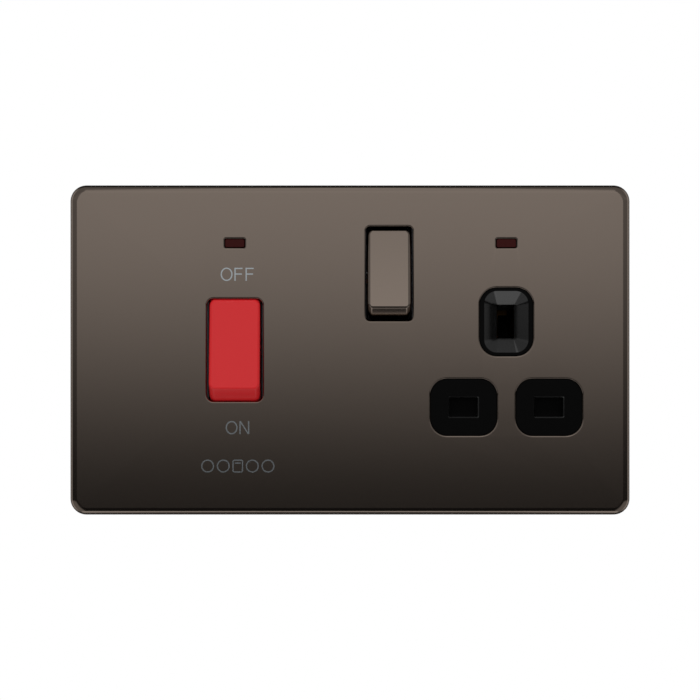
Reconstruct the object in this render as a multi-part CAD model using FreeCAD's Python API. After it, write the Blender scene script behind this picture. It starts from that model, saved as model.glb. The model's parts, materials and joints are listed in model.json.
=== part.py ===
import FreeCAD, Part
import math
import os

# Cooker control unit: a flush wall unit with a double-pole cooker switch and a switched
# socket outlet behind one clip-on front plate. Lengths are millimetres, angles degrees.
# X runs to the right, Z up, and Y from the viewer into the wall. The origin is on the
# wall plane, half way between the two fixing screws.

V = FreeCAD.Vector

# Front plate: one pressed metal pan.
PLATE_WIDTH = 146.0
PLATE_HEIGHT = 86.0
PLATE_CORNER = 4.2
PLATE_EDGE_ROUND = 1.2
PLATE_THICK = 0.8
PLATE_STAND = 7.0
PLATE_LIFT = 0.5
RIM_ROLL = 0.25
ROLL_MIDDLE = 0.3
RIM_RELIEF = 0.35

# Mounting frame: a moulded tray that is screwed to the wall box.
FRAME_DEPTH = 4.6
FRAME_FLOOR = 2.0
FRAME_WALL = 1.8
FRAME_FIT = 0.3
FIXING_MARGIN = 12.7
FIXING_SPAN = PLATE_WIDTH - 2 * FIXING_MARGIN
FIXING_HOLE_R = 1.9
LATCH_MARGIN = 33.0
LATCH_X = PLATE_WIDTH / 2 - LATCH_MARGIN
LATCH_WIDTH = 8.0
LATCH_DEPTH = 1.2

# Front moulding: the black shell that shows in the openings.
FACE_WALL = 1.6
SKIRT_WALL = 1.5
MOULDING_FIT = 0.2
BOSS_FIT = 0.15
BOSS_SUNK = 0.15
SLOT_WALL = 1.2
DRIVER_HOLE_R = 4.6
RIB_CLEAR = 0.6
RIB_MARGIN = 1.5

# Socket outlet: pin layout of a 13 A outlet, with the earth pin on top.
OUTLET_MARGIN = 32.3
OUTLET_X = PLATE_WIDTH / 2 - OUTLET_MARGIN
EARTH_Z = 7.35
PIN_DROP = 22.23
PIN_SPACING = 22.23
PIN_HALF_THICK = 2.0
LINE_Z = EARTH_Z - PIN_DROP
NEUTRAL_X = OUTLET_X - PIN_SPACING / 2
LIVE_X = OUTLET_X + PIN_SPACING / 2
EARTH_WELL = (14.0, 17.8, 4.6)
LINE_WELL = (17.35, 14.8, 4.45)
EARTH_RIM = (1.1, 0.75)
EARTH_WELL_DEPTH = 2.65
EARTH_SLOT = (4.5, 8.6)
LINE_SLOT = (7.4, 5.0)
SLOT_CHAMFER = 0.3
FACE_MARGIN = 1.0
FACE_FIT = 0.1

# Shutter behind the line slots.
SHUTTER_FACE_Y = -2.2
SHUTTER_THICK = 1.2
SHUTTER_TRAVEL = 6.2
SHUTTER_LAP = 1.185
SHUTTER_HALF_WIDTH = PIN_SPACING / 2 + LINE_SLOT[0] / 2 + SHUTTER_LAP
SHUTTER_HALF_HEIGHT = 3.5
SHUTTER_ROOM = 2.3
SHUTTER_STEM_HALF = 1.2
SHUTTER_SPRING_Y = 0.9
SPRING_SEAT_RISE = 1.4
SPRING_SEAT_Z = LINE_Z + SPRING_SEAT_RISE
RAMP_START_Y = 0.6
RAMP_TOP = 1.6
RAMP_BACK = 2.2
RAMP_FOOT = 5.4
RAIL_LAP = 0.5
SPRING_PEG_R = 0.7
SPRING_PEG_LENGTH = 2.0
GUIDE_WALL = 1.2
GUIDE_FIT = 0.4
GUIDE_DROP = 6.35
GUIDE_LENGTH = 8.0
GUIDE_Z = (EARTH_Z - GUIDE_DROP - GUIDE_LENGTH, EARTH_Z - GUIDE_DROP)

# Neon indicators.
NEON_MARGIN = 15.2
NEON_Z = PLATE_HEIGHT / 2 - NEON_MARGIN
NEON_WINDOW = (5.3, 2.4, 0.4)
LENS_FLANGE = (7.7, 4.0, 0.5)
LENS_FLANGE_THICK = 0.8
LAMP_R = 2.0
LAMP_LENGTH = 9.0
LAMP_END = 0.6
RESISTOR_R = 1.1
RESISTOR_LENGTH = 6.0
LEAD_R = 0.3
NEON_POCKET_Y = 3.0

# Rocker switches: openings, gaps round the rockers, and each face's place about its pivot.
COOKER_MARGIN = 43.0
COOKER_OPENING = (14.6, 26.8, 1.8)
COOKER_GAPS = (0.7, 0.58)
COOKER_FACE = (11.0, 1.6)
COOKER_PIN_R = 1.5
SOCKET_LEFT_OF_OUTLET = 30.5
SOCKET_BELOW_NEON = 7.9
SOCKET_OPENING = (12.26, 24.6, 1.2)
SOCKET_GAPS = (0.53, 1.39)
SOCKET_FACE = (8.7, 1.1)
SOCKET_PIN_R = 1.25
THROW = 15.0
PIVOT_FIT = 0.05
SIDE_FIT = 0.35
PIN_LENGTH = 1.5
PIN_ROOM = 0.4
ROCKER_WALL = 1.5
ROCKER_ROUND = 0.8
ROCKER_CORNER = 1.5
SKIRT_DROP = 4.6
ROCKER_WEB = 2.5
EAR_WALL = 1.4
EAR_R = 3.0
CAP_WALL = 0.5
CAP_DROP = 4.4
CAP_ROUND = 0.95
CAP_CORNER = 1.3
SOCKET_EAR_R = 2.6
TUBE_WALL = 1.0
TUBE_BACK = 3.5
PLUNGER_R = 1.2
PLUNGER_FIT = 0.08
PLUNGER_TOP = 0.8
PLUNGER_REACH = 7.1

# Springs: wire across, and the play left at each end.
SPRING_WIRE = 0.4
SPRING_TURNS = 6
SPRING_PLAY = 0.3
PLUNGER_SPRING_R = 0.85
SHUTTER_SPRING_R = 1.15

# Contact arms and the strips that they close on.
FULCRUM_DROP = 10.6
ARM_WIDTH = 4.0
ARM_THICK = 1.1
ARM_FRONT = 2.1
STRIP_THICK = 1.0
STRIP_DROP = 2.3
CONTACT_R = 1.6
CONTACT_GAP = 0.12
RIVET_THICK = 0.8
KNIFE_R = 0.7
KNIFE_FIT = 0.08
SADDLE_BACK = 0.3
SADDLE_HALF = 1.7
SADDLE_FOOT = 2.4
TAIL_SHARE = 0.55
POLE_OFFSET = 3.4
COOKER_ARM = 10.8
SOCKET_ARM = 10.0
LINK_WIDTH = 3.6
LINK_STEP = 2.5
LINK_CLEAR = 1.5

# Rear mouldings and terminals.
BASE_WALL = 1.8
BASE_FLOOR = 2.7
BASE_CORNER = 2.0
BASE_EDGE = 1.5
BASE_JOIN = 0.2
BASE_WINDOW_FIT = 0.7
BASE_END = 2.0
COOKER_BASE_SIDES = (17.0, 20.0)
SOCKET_BASE_RIGHT = 14.8
SOCKET_BASE_RISE = 15.7
OUTLET_BASE_RIGHT = 9.3
OUTLET_BASE_RISE = 16.65
LINE_BASE_RISE = 8.28
LINE_BASE_DROP = 12.12
CHAMBER_WALL = 1.0
CHAMBER_FIT = 0.7
RING_FIT = 1.3
LUG_R = 2.8
LUG_OUT = 2.9
COOKER_LUG_SIDES = (-13.0, 11.0)
LOW_LUG_LEFT = 8.2
MIDDLE_LUG_LEFT = 6.7
TOP_LUG_LEFT = 11.2
SIDE_LUG_RISE = 6.0
LUG_BACK_Y = 2.0
LUG_FRONT_Y = -1.0
PILOT_R = 1.1
SCREW_HOLE_R = 1.6
TERMINAL_LAP = 0.7
TERMINAL_FLOOR = 0.8
TERMINAL_IN = 13.0
TERMINAL_OFFSET = 7.2
TERMINAL_SIZE = 9.6
TERMINAL_DEPTH = 10.0
TERMINAL_LENGTH = 9.0
TERMINAL_BORE_R = 3.2
TERMINAL_SCREW_R = 2.4
TERMINAL_SCREW_GAP = 0.2
TERMINAL_SCREW_SUNK = 0.5
EARTH_BLOCK_LEFT = 13.2
EARTH_BLOCK_WIDTH = 16.0
EARTH_BLOCK_HEIGHT = 11.0
EARTH_BORE_R = 2.6
EARTH_BORE_INSET = 4.0
CABLE_CLEAR = 0.5
PART_FIT = 0.1

# Receptacles, and the strap to the earth one.
LEAF_WALL = 0.8
LEAF_PINCH = 0.35
LEAF_FLARE = 0.8
LEAF_NECK = 3.5
LEAF_RUN = 3.0
LINE_MOUTH_Y = 0.3
LINE_LEAF_HALF = 2.75
EARTH_MOUTH_Y = 1.2
EARTH_LEAF_HALF = 3.5
STRAP_THICK = 0.8
STRAP_HALF = 2.0
STRAP_SHIFT = 1.0
STRAP_DROP = 4.85
STRAP_Z = (EARTH_Z - STRAP_DROP - 2 * STRAP_HALF, EARTH_Z - STRAP_DROP)

# Screws, and the spring clips under the heads of the fixing screws.
BASE_HEAD_R = 2.5
BASE_HEAD_HEIGHT = 1.8
SCREW_LENGTH = 22.0
SCREW_R = 1.75
SCREW_NECK_R = 1.45
SCREW_HEAD_R = 3.2
SCREW_HEAD_HEIGHT = 1.9
SCREW_POINT = 1.5
SCREW_POINT_R = 0.6
CLIP_THICK = 0.4
CLIP_REACH = 3.9
CLIP_TAB = 2.4
CLIP_HALF = 1.2
CLIP_GAP = 0.1

# Levels along Y that several pieces share.
PLATE_FRONT_Y = -PLATE_STAND
PLATE_BACK_Y = PLATE_FRONT_Y + PLATE_THICK
FACE_BACK_Y = PLATE_BACK_Y + FACE_WALL
FLOOR_FRONT_Y = -FRAME_FLOOR
BOSS_FRONT_Y = PLATE_FRONT_Y + BOSS_SUNK
RIB_BACK_Y = FLOOR_FRONT_Y - RIB_CLEAR
SHUTTER_BACK_Y = SHUTTER_FACE_Y + MOULDING_FIT + SHUTTER_THICK


class Switch:
    """Where a rocker switch stands, how large its opening is and how it swings.

    The gaps are those at the sides and ends of the rocker, at the front of the plate.
    The face is given by its distance from the pivot and by how far it stands proud.
    """

    def __init__(self, x, z, opening, gaps, face, pin_r, poles):
        side_gap, end_gap = gaps
        face_drop, face_proud = face
        self.x = x
        self.z = z
        self.opening = opening
        self.half = opening[0] / 2 - side_gap
        self.face_drop = face_drop
        self.pivot_y = PLATE_FRONT_Y - face_proud + face_drop
        self.end_radius = math.hypot(opening[1] / 2 - end_gap, face_drop - face_proud)
        self.pin_r = pin_r
        self.poles = poles
        self.fulcrum_y = self.pivot_y + FULCRUM_DROP
        self.strip_y = self.fulcrum_y + STRIP_DROP

    def pivot(self):
        return V(self.x, self.pivot_y, self.z)

    def fulcrum(self):
        return V(self.x, self.fulcrum_y, self.z)

    def tilted(self, shape):
        """Swing a rocker piece from its middle position to OFF."""
        shape.rotate(self.pivot(), V(1, 0, 0), -THROW / 2)
        return shape

    def arm_tilted(self, shape):
        """Swing a contact arm from its middle position to OFF."""
        shape.rotate(self.fulcrum(), V(1, 0, 0), THROW / 2)
        return shape


COOKER = Switch(
    COOKER_MARGIN - PLATE_WIDTH / 2, 0.0,
    COOKER_OPENING, COOKER_GAPS, COOKER_FACE, COOKER_PIN_R, (-POLE_OFFSET, POLE_OFFSET),
)
SOCKET = Switch(
    OUTLET_X - SOCKET_LEFT_OF_OUTLET, NEON_Z - SOCKET_BELOW_NEON,
    SOCKET_OPENING, SOCKET_GAPS, SOCKET_FACE, SOCKET_PIN_R, (0.0,),
)
NEON_X = (COOKER.x, OUTLET_X)

# Levels along Y behind the switches.
TERMINAL_BACK_Y = COOKER.strip_y + STRIP_THICK + TERMINAL_LAP
TERMINAL_Y = TERMINAL_BACK_Y - TERMINAL_DEPTH
CHAMBER_FLOOR_Y = TERMINAL_Y - CHAMBER_WALL
NEUTRAL_LINK_Y = CHAMBER_FLOOR_Y - LINK_CLEAR
LIVE_LINK_Y = NEUTRAL_LINK_Y - LINK_STEP
BASE_FLOOR_Y = TERMINAL_BACK_Y + TERMINAL_FLOOR
BASE_BACK_Y = BASE_FLOOR_Y + BASE_FLOOR
EARTH_BLOCK_Y = BASE_FLOOR_Y - BASE_JOIN - TERMINAL_DEPTH
EARTH_BACK_Y = BASE_FLOOR_Y - BASE_JOIN - STRAP_THICK

# Outlines of the rear mouldings: left, right, bottom and top.
TERMINAL_END = TERMINAL_IN + TERMINAL_LENGTH
COOKER_BASE = (
    COOKER.x - COOKER_BASE_SIDES[0], COOKER.x + COOKER_BASE_SIDES[1],
    COOKER.z - TERMINAL_END - BASE_END, COOKER.z + TERMINAL_END + BASE_END,
)
SOCKET_LEFT = COOKER_BASE[1] + BASE_JOIN
SOCKET_BOTTOM = LINE_Z - LINE_BASE_DROP
SOCKET_TOP = SOCKET.z + SOCKET_BASE_RISE
OUTLET_TOP = EARTH_Z + OUTLET_BASE_RISE
SOCKET_BASE = (
    (SOCKET_LEFT, SOCKET.x + SOCKET_BASE_RIGHT, SOCKET_BOTTOM, SOCKET_TOP),
    (SOCKET_LEFT, OUTLET_X + OUTLET_BASE_RIGHT, SOCKET_BOTTOM, OUTLET_TOP),
    (SOCKET_LEFT, OUTLET_X + SHUTTER_HALF_WIDTH + SHUTTER_ROOM, SOCKET_BOTTOM, LINE_Z + LINE_BASE_RISE),
)
COOKER_LUGS = tuple(
    (COOKER.x + across, edge + math.copysign(LUG_OUT, edge))
    for edge in COOKER_BASE[2:] for across in COOKER_LUG_SIDES
)
SOCKET_LUGS = (
    (SOCKET.x - LOW_LUG_LEFT, SOCKET_BOTTOM - LUG_OUT),
    (OUTLET_X - MIDDLE_LUG_LEFT, SOCKET_BOTTOM - LUG_OUT),
    (SOCKET_LEFT - LUG_OUT, COOKER_BASE[3] + SIDE_LUG_RISE),
    (OUTLET_X - TOP_LUG_LEFT, OUTLET_TOP + LUG_OUT),
)

# Earth block: left, right, bottom and top. Copper strips: bottom and top.
EARTH_BLOCK_X = SOCKET.x - EARTH_BLOCK_LEFT
EARTH_BLOCK_Z = SOCKET_BOTTOM + BASE_WALL + BASE_JOIN
EARTH_BLOCK = (EARTH_BLOCK_X, EARTH_BLOCK_X + EARTH_BLOCK_WIDTH, EARTH_BLOCK_Z, EARTH_BLOCK_Z + EARTH_BLOCK_HEIGHT)
EARTH_BORE_X = (EARTH_BLOCK[0] + EARTH_BORE_INSET, EARTH_BLOCK[1] - EARTH_BORE_INSET)
LINK_Z = (COOKER.z - TERMINAL_END, COOKER.z - TERMINAL_END + LINK_WIDTH)
FEED_Z = (SOCKET.z - LINK_WIDTH / 2, SOCKET.z + LINK_WIDTH / 2)
CONTACT_STRIP_Z = (FEED_Z[0] + SOCKET_ARM, FEED_Z[1] + SOCKET_ARM)


def box(x0, x1, y0, y1, z0, z1):
    """Box between two corners."""
    return Part.makeBox(x1 - x0, y1 - y0, z1 - z0, V(x0, y0, z0))


def rod_y(x, z, radius, y0, y1):
    return Part.makeCylinder(radius, y1 - y0, V(x, y0, z), V(0, 1, 0))


def rod_x(y, z, radius, x0, x1):
    return Part.makeCylinder(radius, x1 - x0, V(x0, y, z), V(1, 0, 0))


def rod_z(x, y, radius, z0, z1):
    return Part.makeCylinder(radius, z1 - z0, V(x, y, z0), V(0, 0, 1))


def edges_along(shape, axis):
    """Straight edges that run along an axis."""
    found = []
    for edge in shape.Edges:
        if isinstance(edge.Curve, Part.Line) and abs(edge.Curve.Direction.dot(axis)) > 0.999:
            found.append(edge)
    return found


def edges_at(shape, y):
    """Edges that lie whole in the plane at one Y level."""
    return [e for e in shape.Edges if abs(e.BoundBox.YMin - y) < 0.01 and abs(e.BoundBox.YMax - y) < 0.01]


def slab(x, z, width, height, corner, y0, y1):
    """Rounded rectangle across X and Z that runs from one Y level to another."""
    block = box(x - width / 2, x + width / 2, y0, y1, z - height / 2, z + height / 2)
    return block.makeFillet(corner, edges_along(block, V(0, 1, 0)))


def outline(x, z, width, height, corner, y):
    """Rounded rectangle as a wire at one Y level."""
    return edges_wire(slab(x, z, width, height, corner, y, y + 1), y)


def edges_wire(shape, y):
    return Part.Wire(Part.__sortEdges__(edges_at(shape, y)))


def fuse(shapes):
    shapes = list(shapes)
    if len(shapes) == 1:
        return shapes[0]
    return shapes[0].multiFuse(shapes[1:]).removeSplitter()


def prism_x(points, x0, x1):
    """Outline across Y and Z that runs along X."""
    corners = [V(x0, y, z) for y, z in points]
    face = Part.Face(Part.makePolygon(corners + corners[:1]))
    return face.extrude(V(x1 - x0, 0, 0))


def prism_z(points, z0, z1):
    """Outline across X and Y that runs along Z."""
    corners = [V(x, y, z0) for x, y in points]
    face = Part.Face(Part.makePolygon(corners + corners[:1]))
    return face.extrude(V(0, 0, z1 - z0))


def save(name, shape):
    shape.exportStep("parts/" + name + ".step")


def coil(radius, wire, length, turns):
    """Square wire spring that stands on the origin along +Z."""
    helix = Part.makeHelix(length / turns, length, radius)
    half = wire / 2
    corners = [(-half, -half), (half, -half), (half, half), (-half, half), (-half, -half)]
    section = Part.makePolygon([V(radius + across, 0, up) for across, up in corners])
    return Part.Wire(helix).makePipeShell([section], True, True)


def well_outlines():
    """Each pin well: its centre, aperture and slot."""
    return (
        (OUTLET_X, EARTH_Z, EARTH_WELL, EARTH_SLOT),
        (NEUTRAL_X, LINE_Z, LINE_WELL, LINE_SLOT),
        (LIVE_X, LINE_Z, LINE_WELL, LINE_SLOT),
    )


def plate_openings():
    """Every opening of the front plate: centre, width, height and corner radius."""
    wells = [(x, z) + aperture for x, z, aperture, slot in well_outlines()]
    rockers = [(s.x, s.z) + s.opening for s in (COOKER, SOCKET)]
    windows = [(x, NEON_Z) + NEON_WINDOW for x in NEON_X]
    return wells, rockers, windows


def relieved(opening, relief):
    """Cutter that widens an opening towards the back of the plate."""
    x, z, width, height, corner = opening
    front = outline(x, z, width, height, corner, PLATE_BACK_Y - relief)
    back = outline(x, z, width + 2 * relief, height + 2 * relief, corner + relief, PLATE_BACK_Y)
    return Part.makeLoft([front, back], True, True)


def rolled(opening, roll):
    """Cutter that rolls the front rim of an opening over."""
    x, z, width, height, corner = opening
    front = outline(x, z, width + 2 * roll, height + 2 * roll, corner + roll, PLATE_FRONT_Y)
    share = ROLL_MIDDLE * roll
    middle = outline(x, z, width + 2 * share, height + 2 * share, corner + share, PLATE_FRONT_Y + share)
    back = outline(x, z, width, height, corner, PLATE_FRONT_Y + roll)
    return Part.makeLoft([front, middle, back], True, True)


def make_front_plate():
    edge_y = -PLATE_LIFT
    shell = slab(0, 0, PLATE_WIDTH, PLATE_HEIGHT, PLATE_CORNER, PLATE_FRONT_Y, edge_y)
    shell = shell.makeFillet(PLATE_EDGE_ROUND, edges_at(shell, PLATE_FRONT_Y))
    inner_width = PLATE_WIDTH - 2 * PLATE_THICK
    inner_height = PLATE_HEIGHT - 2 * PLATE_THICK
    hollow = slab(0, 0, inner_width, inner_height, PLATE_CORNER - PLATE_THICK, PLATE_BACK_Y, edge_y)
    hollow = hollow.makeFillet(PLATE_EDGE_ROUND - PLATE_THICK, edges_at(hollow, PLATE_BACK_Y))
    cutters = [hollow]
    wells, rockers, windows = plate_openings()
    for opening in wells + rockers + windows:
        x, z, width, height, corner = opening
        cutters.append(slab(x, z, width, height, corner, PLATE_FRONT_Y - 1, PLATE_BACK_Y + 1))
        cutters.append(rolled(opening, RIM_ROLL))
    for opening in rockers:
        cutters.append(relieved(opening, RIM_RELIEF))
    for x in (-LATCH_X, LATCH_X):
        half = LATCH_WIDTH / 2 + FRAME_FIT
        y0, y1 = latch_levels(FRAME_FIT)
        cutters.append(box(x - half, x + half, y0, y1, -PLATE_HEIGHT, PLATE_HEIGHT))
    return shell.cut(fuse(cutters))


def latch_levels(clearance):
    """Front and back of the latch lugs, or of their windows with a clearance."""
    middle = -FRAME_DEPTH / 2
    return middle - LATCH_DEPTH / 2 - clearance, middle + LATCH_DEPTH / 2 + clearance


def frame_size():
    gap = 2 * (PLATE_THICK + FRAME_FIT)
    return PLATE_WIDTH - gap, PLATE_HEIGHT - gap, PLATE_CORNER - PLATE_THICK - FRAME_FIT


def base_window(clearance):
    """Space that the rear mouldings and their lugs take in the frame."""
    left = COOKER_BASE[0] - clearance
    right = SOCKET_BASE[1][1] + clearance
    top = SOCKET_TOP + clearance
    window = box(left, right, -FRAME_DEPTH, 0, -top, top)
    outer = SOCKET_BASE[2]
    step = box(right - 1, outer[1] + clearance, -FRAME_DEPTH, 0, outer[2] - clearance, outer[3] + clearance)
    return fuse([window, step])


def make_mounting_frame():
    width, height, corner = frame_size()
    tray = slab(0, 0, width, height, corner, -FRAME_DEPTH, 0)
    inner_corner = corner - FRAME_WALL
    hollow = slab(0, 0, width - 2 * FRAME_WALL, height - 2 * FRAME_WALL, inner_corner, -FRAME_DEPTH, FLOOR_FRONT_Y)
    body = tray.cut(fuse([hollow, base_window(BASE_WINDOW_FIT)]))
    holes = [rod_y(x, 0, FIXING_HOLE_R, -FRAME_DEPTH, 0) for x in (-FIXING_SPAN / 2, FIXING_SPAN / 2)]
    body = body.cut(fuse(holes))
    y0, y1 = latch_levels(0)
    reach = height / 2 + PLATE_THICK
    for x in (-LATCH_X, LATCH_X):
        for side in (-1, 1):
            z0, z1 = sorted((side * (height / 2 - FRAME_WALL), side * reach))
            body = body.fuse(box(x - LATCH_WIDTH / 2, x + LATCH_WIDTH / 2, y0, y1, z0, z1))
    return body.removeSplitter()


def well_boss(x, z, aperture):
    """Black boss that fills a well aperture."""
    width, height, corner = aperture
    fit = 2 * BOSS_FIT
    return slab(x, z, width - fit, height - fit, corner - BOSS_FIT, BOSS_FRONT_Y, PLATE_BACK_Y)


def slot_cutter(x, z, slot, floor_y):
    """Pin slot with a chamfered mouth, from the floor of its well through to the shutter."""
    wide = 2 * SLOT_CHAMFER
    neck_corner = SLOT_CHAMFER / 2
    mouth = outline(x, z, slot[0] + wide, slot[1] + wide, neck_corner + SLOT_CHAMFER, floor_y)
    neck = outline(x, z, slot[0], slot[1], neck_corner, floor_y + SLOT_CHAMFER)
    throat = slab(x, z, slot[0], slot[1], neck_corner, floor_y, SHUTTER_FACE_Y)
    return fuse([Part.makeLoft([mouth, neck], True, True), throat])


def earth_well_cutter():
    """Well round the earth slot, whose four sides slope in from the boss rim."""
    width, height, corner = EARTH_WELL
    side = BOSS_FIT + EARTH_RIM[0]
    end = BOSS_FIT + EARTH_RIM[1]
    floor_y = BOSS_FRONT_Y + EARTH_WELL_DEPTH
    mouth = SLOT_CHAMFER * 3 / 2
    rim = outline(OUTLET_X, EARTH_Z, width - 2 * side, height - 2 * end, corner - side, BOSS_FRONT_Y)
    floor = outline(
        OUTLET_X, EARTH_Z, EARTH_SLOT[0] + 2 * SLOT_CHAMFER, EARTH_SLOT[1] + 2 * SLOT_CHAMFER, mouth, floor_y,
    )
    return Part.makeLoft([rim, floor], True, True)


def face_outline(grow):
    """Outline of the socket face behind the plate: the line wells' bar and the earth well's column."""
    margin = FACE_MARGIN + grow
    half_line = LINE_WELL[0] / 2 + margin
    half_earth = EARTH_WELL[0] / 2 + margin
    low = LINE_Z - LINE_WELL[1] / 2 - margin
    y0, y1 = PLATE_BACK_Y, FACE_BACK_Y
    bar = box(NEUTRAL_X - half_line, LIVE_X + half_line, y0, y1, low, LINE_Z + LINE_WELL[1] / 2 + margin)
    top = EARTH_Z + EARTH_WELL[1] / 2 + margin
    column = box(OUTLET_X - half_earth, OUTLET_X + half_earth, y0, y1, low, top)
    return fuse([bar, column])


def make_socket_face():
    """Insert with the three pin wells, held between the plate and the rear moulding."""
    adds = [face_outline(0)]
    cuts = [earth_well_cutter()]
    for x, z, aperture, slot in well_outlines():
        adds.append(well_boss(x, z, aperture))
        around = 2 * SLOT_WALL
        adds.append(slab(x, z, slot[0] + around, slot[1] + around, SLOT_WALL, FACE_BACK_Y, SHUTTER_FACE_Y))
        floor_y = BOSS_FRONT_Y + (EARTH_WELL_DEPTH if aperture is EARTH_WELL else 0)
        cuts.append(slot_cutter(x, z, slot, floor_y))
    z0, z1 = GUIDE_Z
    for side in (-1, 1):
        guide = OUTLET_X + side * (SHUTTER_STEM_HALF + GUIDE_FIT + GUIDE_WALL / 2)
        adds.append(box(guide - GUIDE_WALL / 2, guide + GUIDE_WALL / 2, FACE_BACK_Y, SHUTTER_BACK_Y, z0, z1))
    return fuse(adds).cut(fuse(cuts))


def moulding_size():
    width, height, corner = frame_size()
    gap = 2 * (FRAME_WALL + MOULDING_FIT)
    return width - gap, height - gap, corner - FRAME_WALL


def rocker_window(switch, y):
    """Half height that clears the rocker's curved ends at one Y level."""
    drop = switch.pivot_y - y
    return math.sqrt(switch.end_radius ** 2 - drop ** 2) + SIDE_FIT


def neon_pocket(x, grow, y0, y1):
    width = LAMP_LENGTH + 2 * SIDE_FIT + 2 * grow
    height = 2 * (LAMP_R + SIDE_FIT + grow)
    return slab(x, NEON_Z, width, height, 0.5 + grow / 2, y0, y1)


def make_front_moulding():
    width, height, corner = moulding_size()
    shell = slab(0, 0, width, height, corner, PLATE_BACK_Y, FLOOR_FRONT_Y)
    hollow = box(
        -width / 2 + SKIRT_WALL, width / 2 - SKIRT_WALL, FACE_BACK_Y, FLOOR_FRONT_Y,
        -height / 2 + SKIRT_WALL, height / 2 - SKIRT_WALL,
    )
    body = shell.cut(hollow)
    adds = []
    cuts = [face_outline(FACE_FIT)]
    for switch in (COOKER, SOCKET):
        opening_width = switch.opening[0] + 2 * BOSS_FIT
        tall = 2 * rocker_window(switch, FACE_BACK_Y)
        cuts.append(slab(switch.x, switch.z, opening_width, tall, 1.0, PLATE_BACK_Y, FACE_BACK_Y))
    for x in (-FIXING_SPAN / 2, FIXING_SPAN / 2):
        collar = rod_y(x, 0, DRIVER_HOLE_R + SLOT_WALL, FACE_BACK_Y, FLOOR_FRONT_Y)
        adds.append(collar)
        cuts.append(rod_y(x, 0, DRIVER_HOLE_R, PLATE_BACK_Y, FLOOR_FRONT_Y))
    for x in NEON_X:
        adds.append(neon_pocket(x, SLOT_WALL, FACE_BACK_Y, NEON_POCKET_Y))
        cuts.append(neon_pocket(x, 0, FACE_BACK_Y, NEON_POCKET_Y))
        cuts.append(slab(x, NEON_Z, NEON_WINDOW[0], NEON_WINDOW[1], NEON_WINDOW[2], PLATE_BACK_Y, FACE_BACK_Y))
    for x, z in COOKER_LUGS + SOCKET_LUGS:
        adds.append(rod_y(x, z, LUG_R, FACE_BACK_Y, LUG_FRONT_Y))
        cuts.append(rod_y(x, z, PILOT_R, FACE_BACK_Y - FACE_WALL / 2, LUG_FRONT_Y))
    adds.extend(stiffeners(width))
    return fuse([body] + adds).cut(fuse(cuts))


def stiffeners(width):
    """Ribs behind the moulding's face, clear of the rear mouldings."""
    ribs = []
    top = SOCKET_TOP + RIB_MARGIN
    half = SLOT_WALL / 2
    inner = width / 2 - SKIRT_WALL
    for z in (-top, top):
        ribs.append(box(-inner, inner, FACE_BACK_Y, RIB_BACK_Y, z - half, z + half))
    for x in (COOKER_BASE[0] - 2 * RIB_MARGIN, SOCKET_BASE[2][1] + 2 * RIB_MARGIN + DRIVER_HOLE_R):
        ribs.append(box(x - half, x + half, FACE_BACK_Y, RIB_BACK_Y, -top, top))
    return ribs


def rocker_block(switch, inset, back_drop):
    """Outer form of a rocker in its middle position, drawn in by an inset.

    The face is flat and both ends are curved about the pivot, so that the gap in the
    opening stays the same over the whole throw.
    """
    drop = switch.face_drop - inset
    radius = switch.end_radius - inset
    reach = math.sqrt(radius ** 2 - drop ** 2)
    back = math.sqrt(radius ** 2 - back_drop ** 2)
    middle_angle = (math.acos(drop / radius) + math.acos(back_drop / radius)) / 2
    middle = (-radius * math.cos(middle_angle), radius * math.sin(middle_angle))
    x0 = switch.x - switch.half + inset
    pivot = switch.pivot()

    def point(y, z):
        return V(x0, pivot.y + y, pivot.z + z)

    edges = [
        Part.LineSegment(point(-drop, -reach), point(-drop, reach)).toShape(),
        Part.Arc(point(-drop, reach), point(*middle), point(-back_drop, back)).toShape(),
        Part.LineSegment(point(-back_drop, back), point(-back_drop, -back)).toShape(),
        Part.Arc(point(-back_drop, -back), point(middle[0], -middle[1]), point(-drop, -reach)).toShape(),
    ]
    face = Part.Face(Part.Wire(edges))
    return face.extrude(V(2 * (switch.half - inset), 0, 0))


def rounded_block(switch, inset, back_drop, radius, corner):
    """Rocker form with rounded corners and a rounded face, open to the back."""
    block = rocker_block(switch, inset, back_drop)
    corners = [e for e in block.Edges if isinstance(e.Curve, Part.Circle)]
    block = block.makeFillet(corner, corners)
    return block.makeFillet(radius, edges_at(block, switch.pivot_y - switch.face_drop + inset))


def rocker_ears(switch, half, ear_r, front_drop):
    """Side ears from the rocker down to its pivot, with the moulded pivot pins."""
    pieces = []
    y = switch.pivot_y
    for side in (-1, 1):
        outer = switch.x + side * half
        inner = outer - side * EAR_WALL
        tip = outer + side * (SIDE_FIT + PIN_LENGTH)
        x0, x1 = sorted((outer, inner))
        pieces.append(box(x0, x1, y - front_drop, y, switch.z - ear_r, switch.z + ear_r))
        pieces.append(rod_x(y, switch.z, ear_r, x0, x1))
        p0, p1 = sorted((inner, tip))
        pieces.append(rod_x(y, switch.z, switch.pin_r, p0, p1))
    return pieces


def plunger_tubes(switch, top_drop):
    """Tubes under the face that guide the plungers, and their blind bores."""
    tubes = []
    bores = []
    for pole in switch.poles:
        x = switch.x + pole
        y1 = switch.pivot_y + TUBE_BACK
        bore_r = PLUNGER_R + PLUNGER_FIT
        tubes.append(rod_y(x, switch.z, bore_r + TUBE_WALL, switch.pivot_y - top_drop, y1))
        bores.append(rod_y(x, switch.z, bore_r, switch.pivot_y - top_drop, y1))
    return tubes, bores


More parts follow.
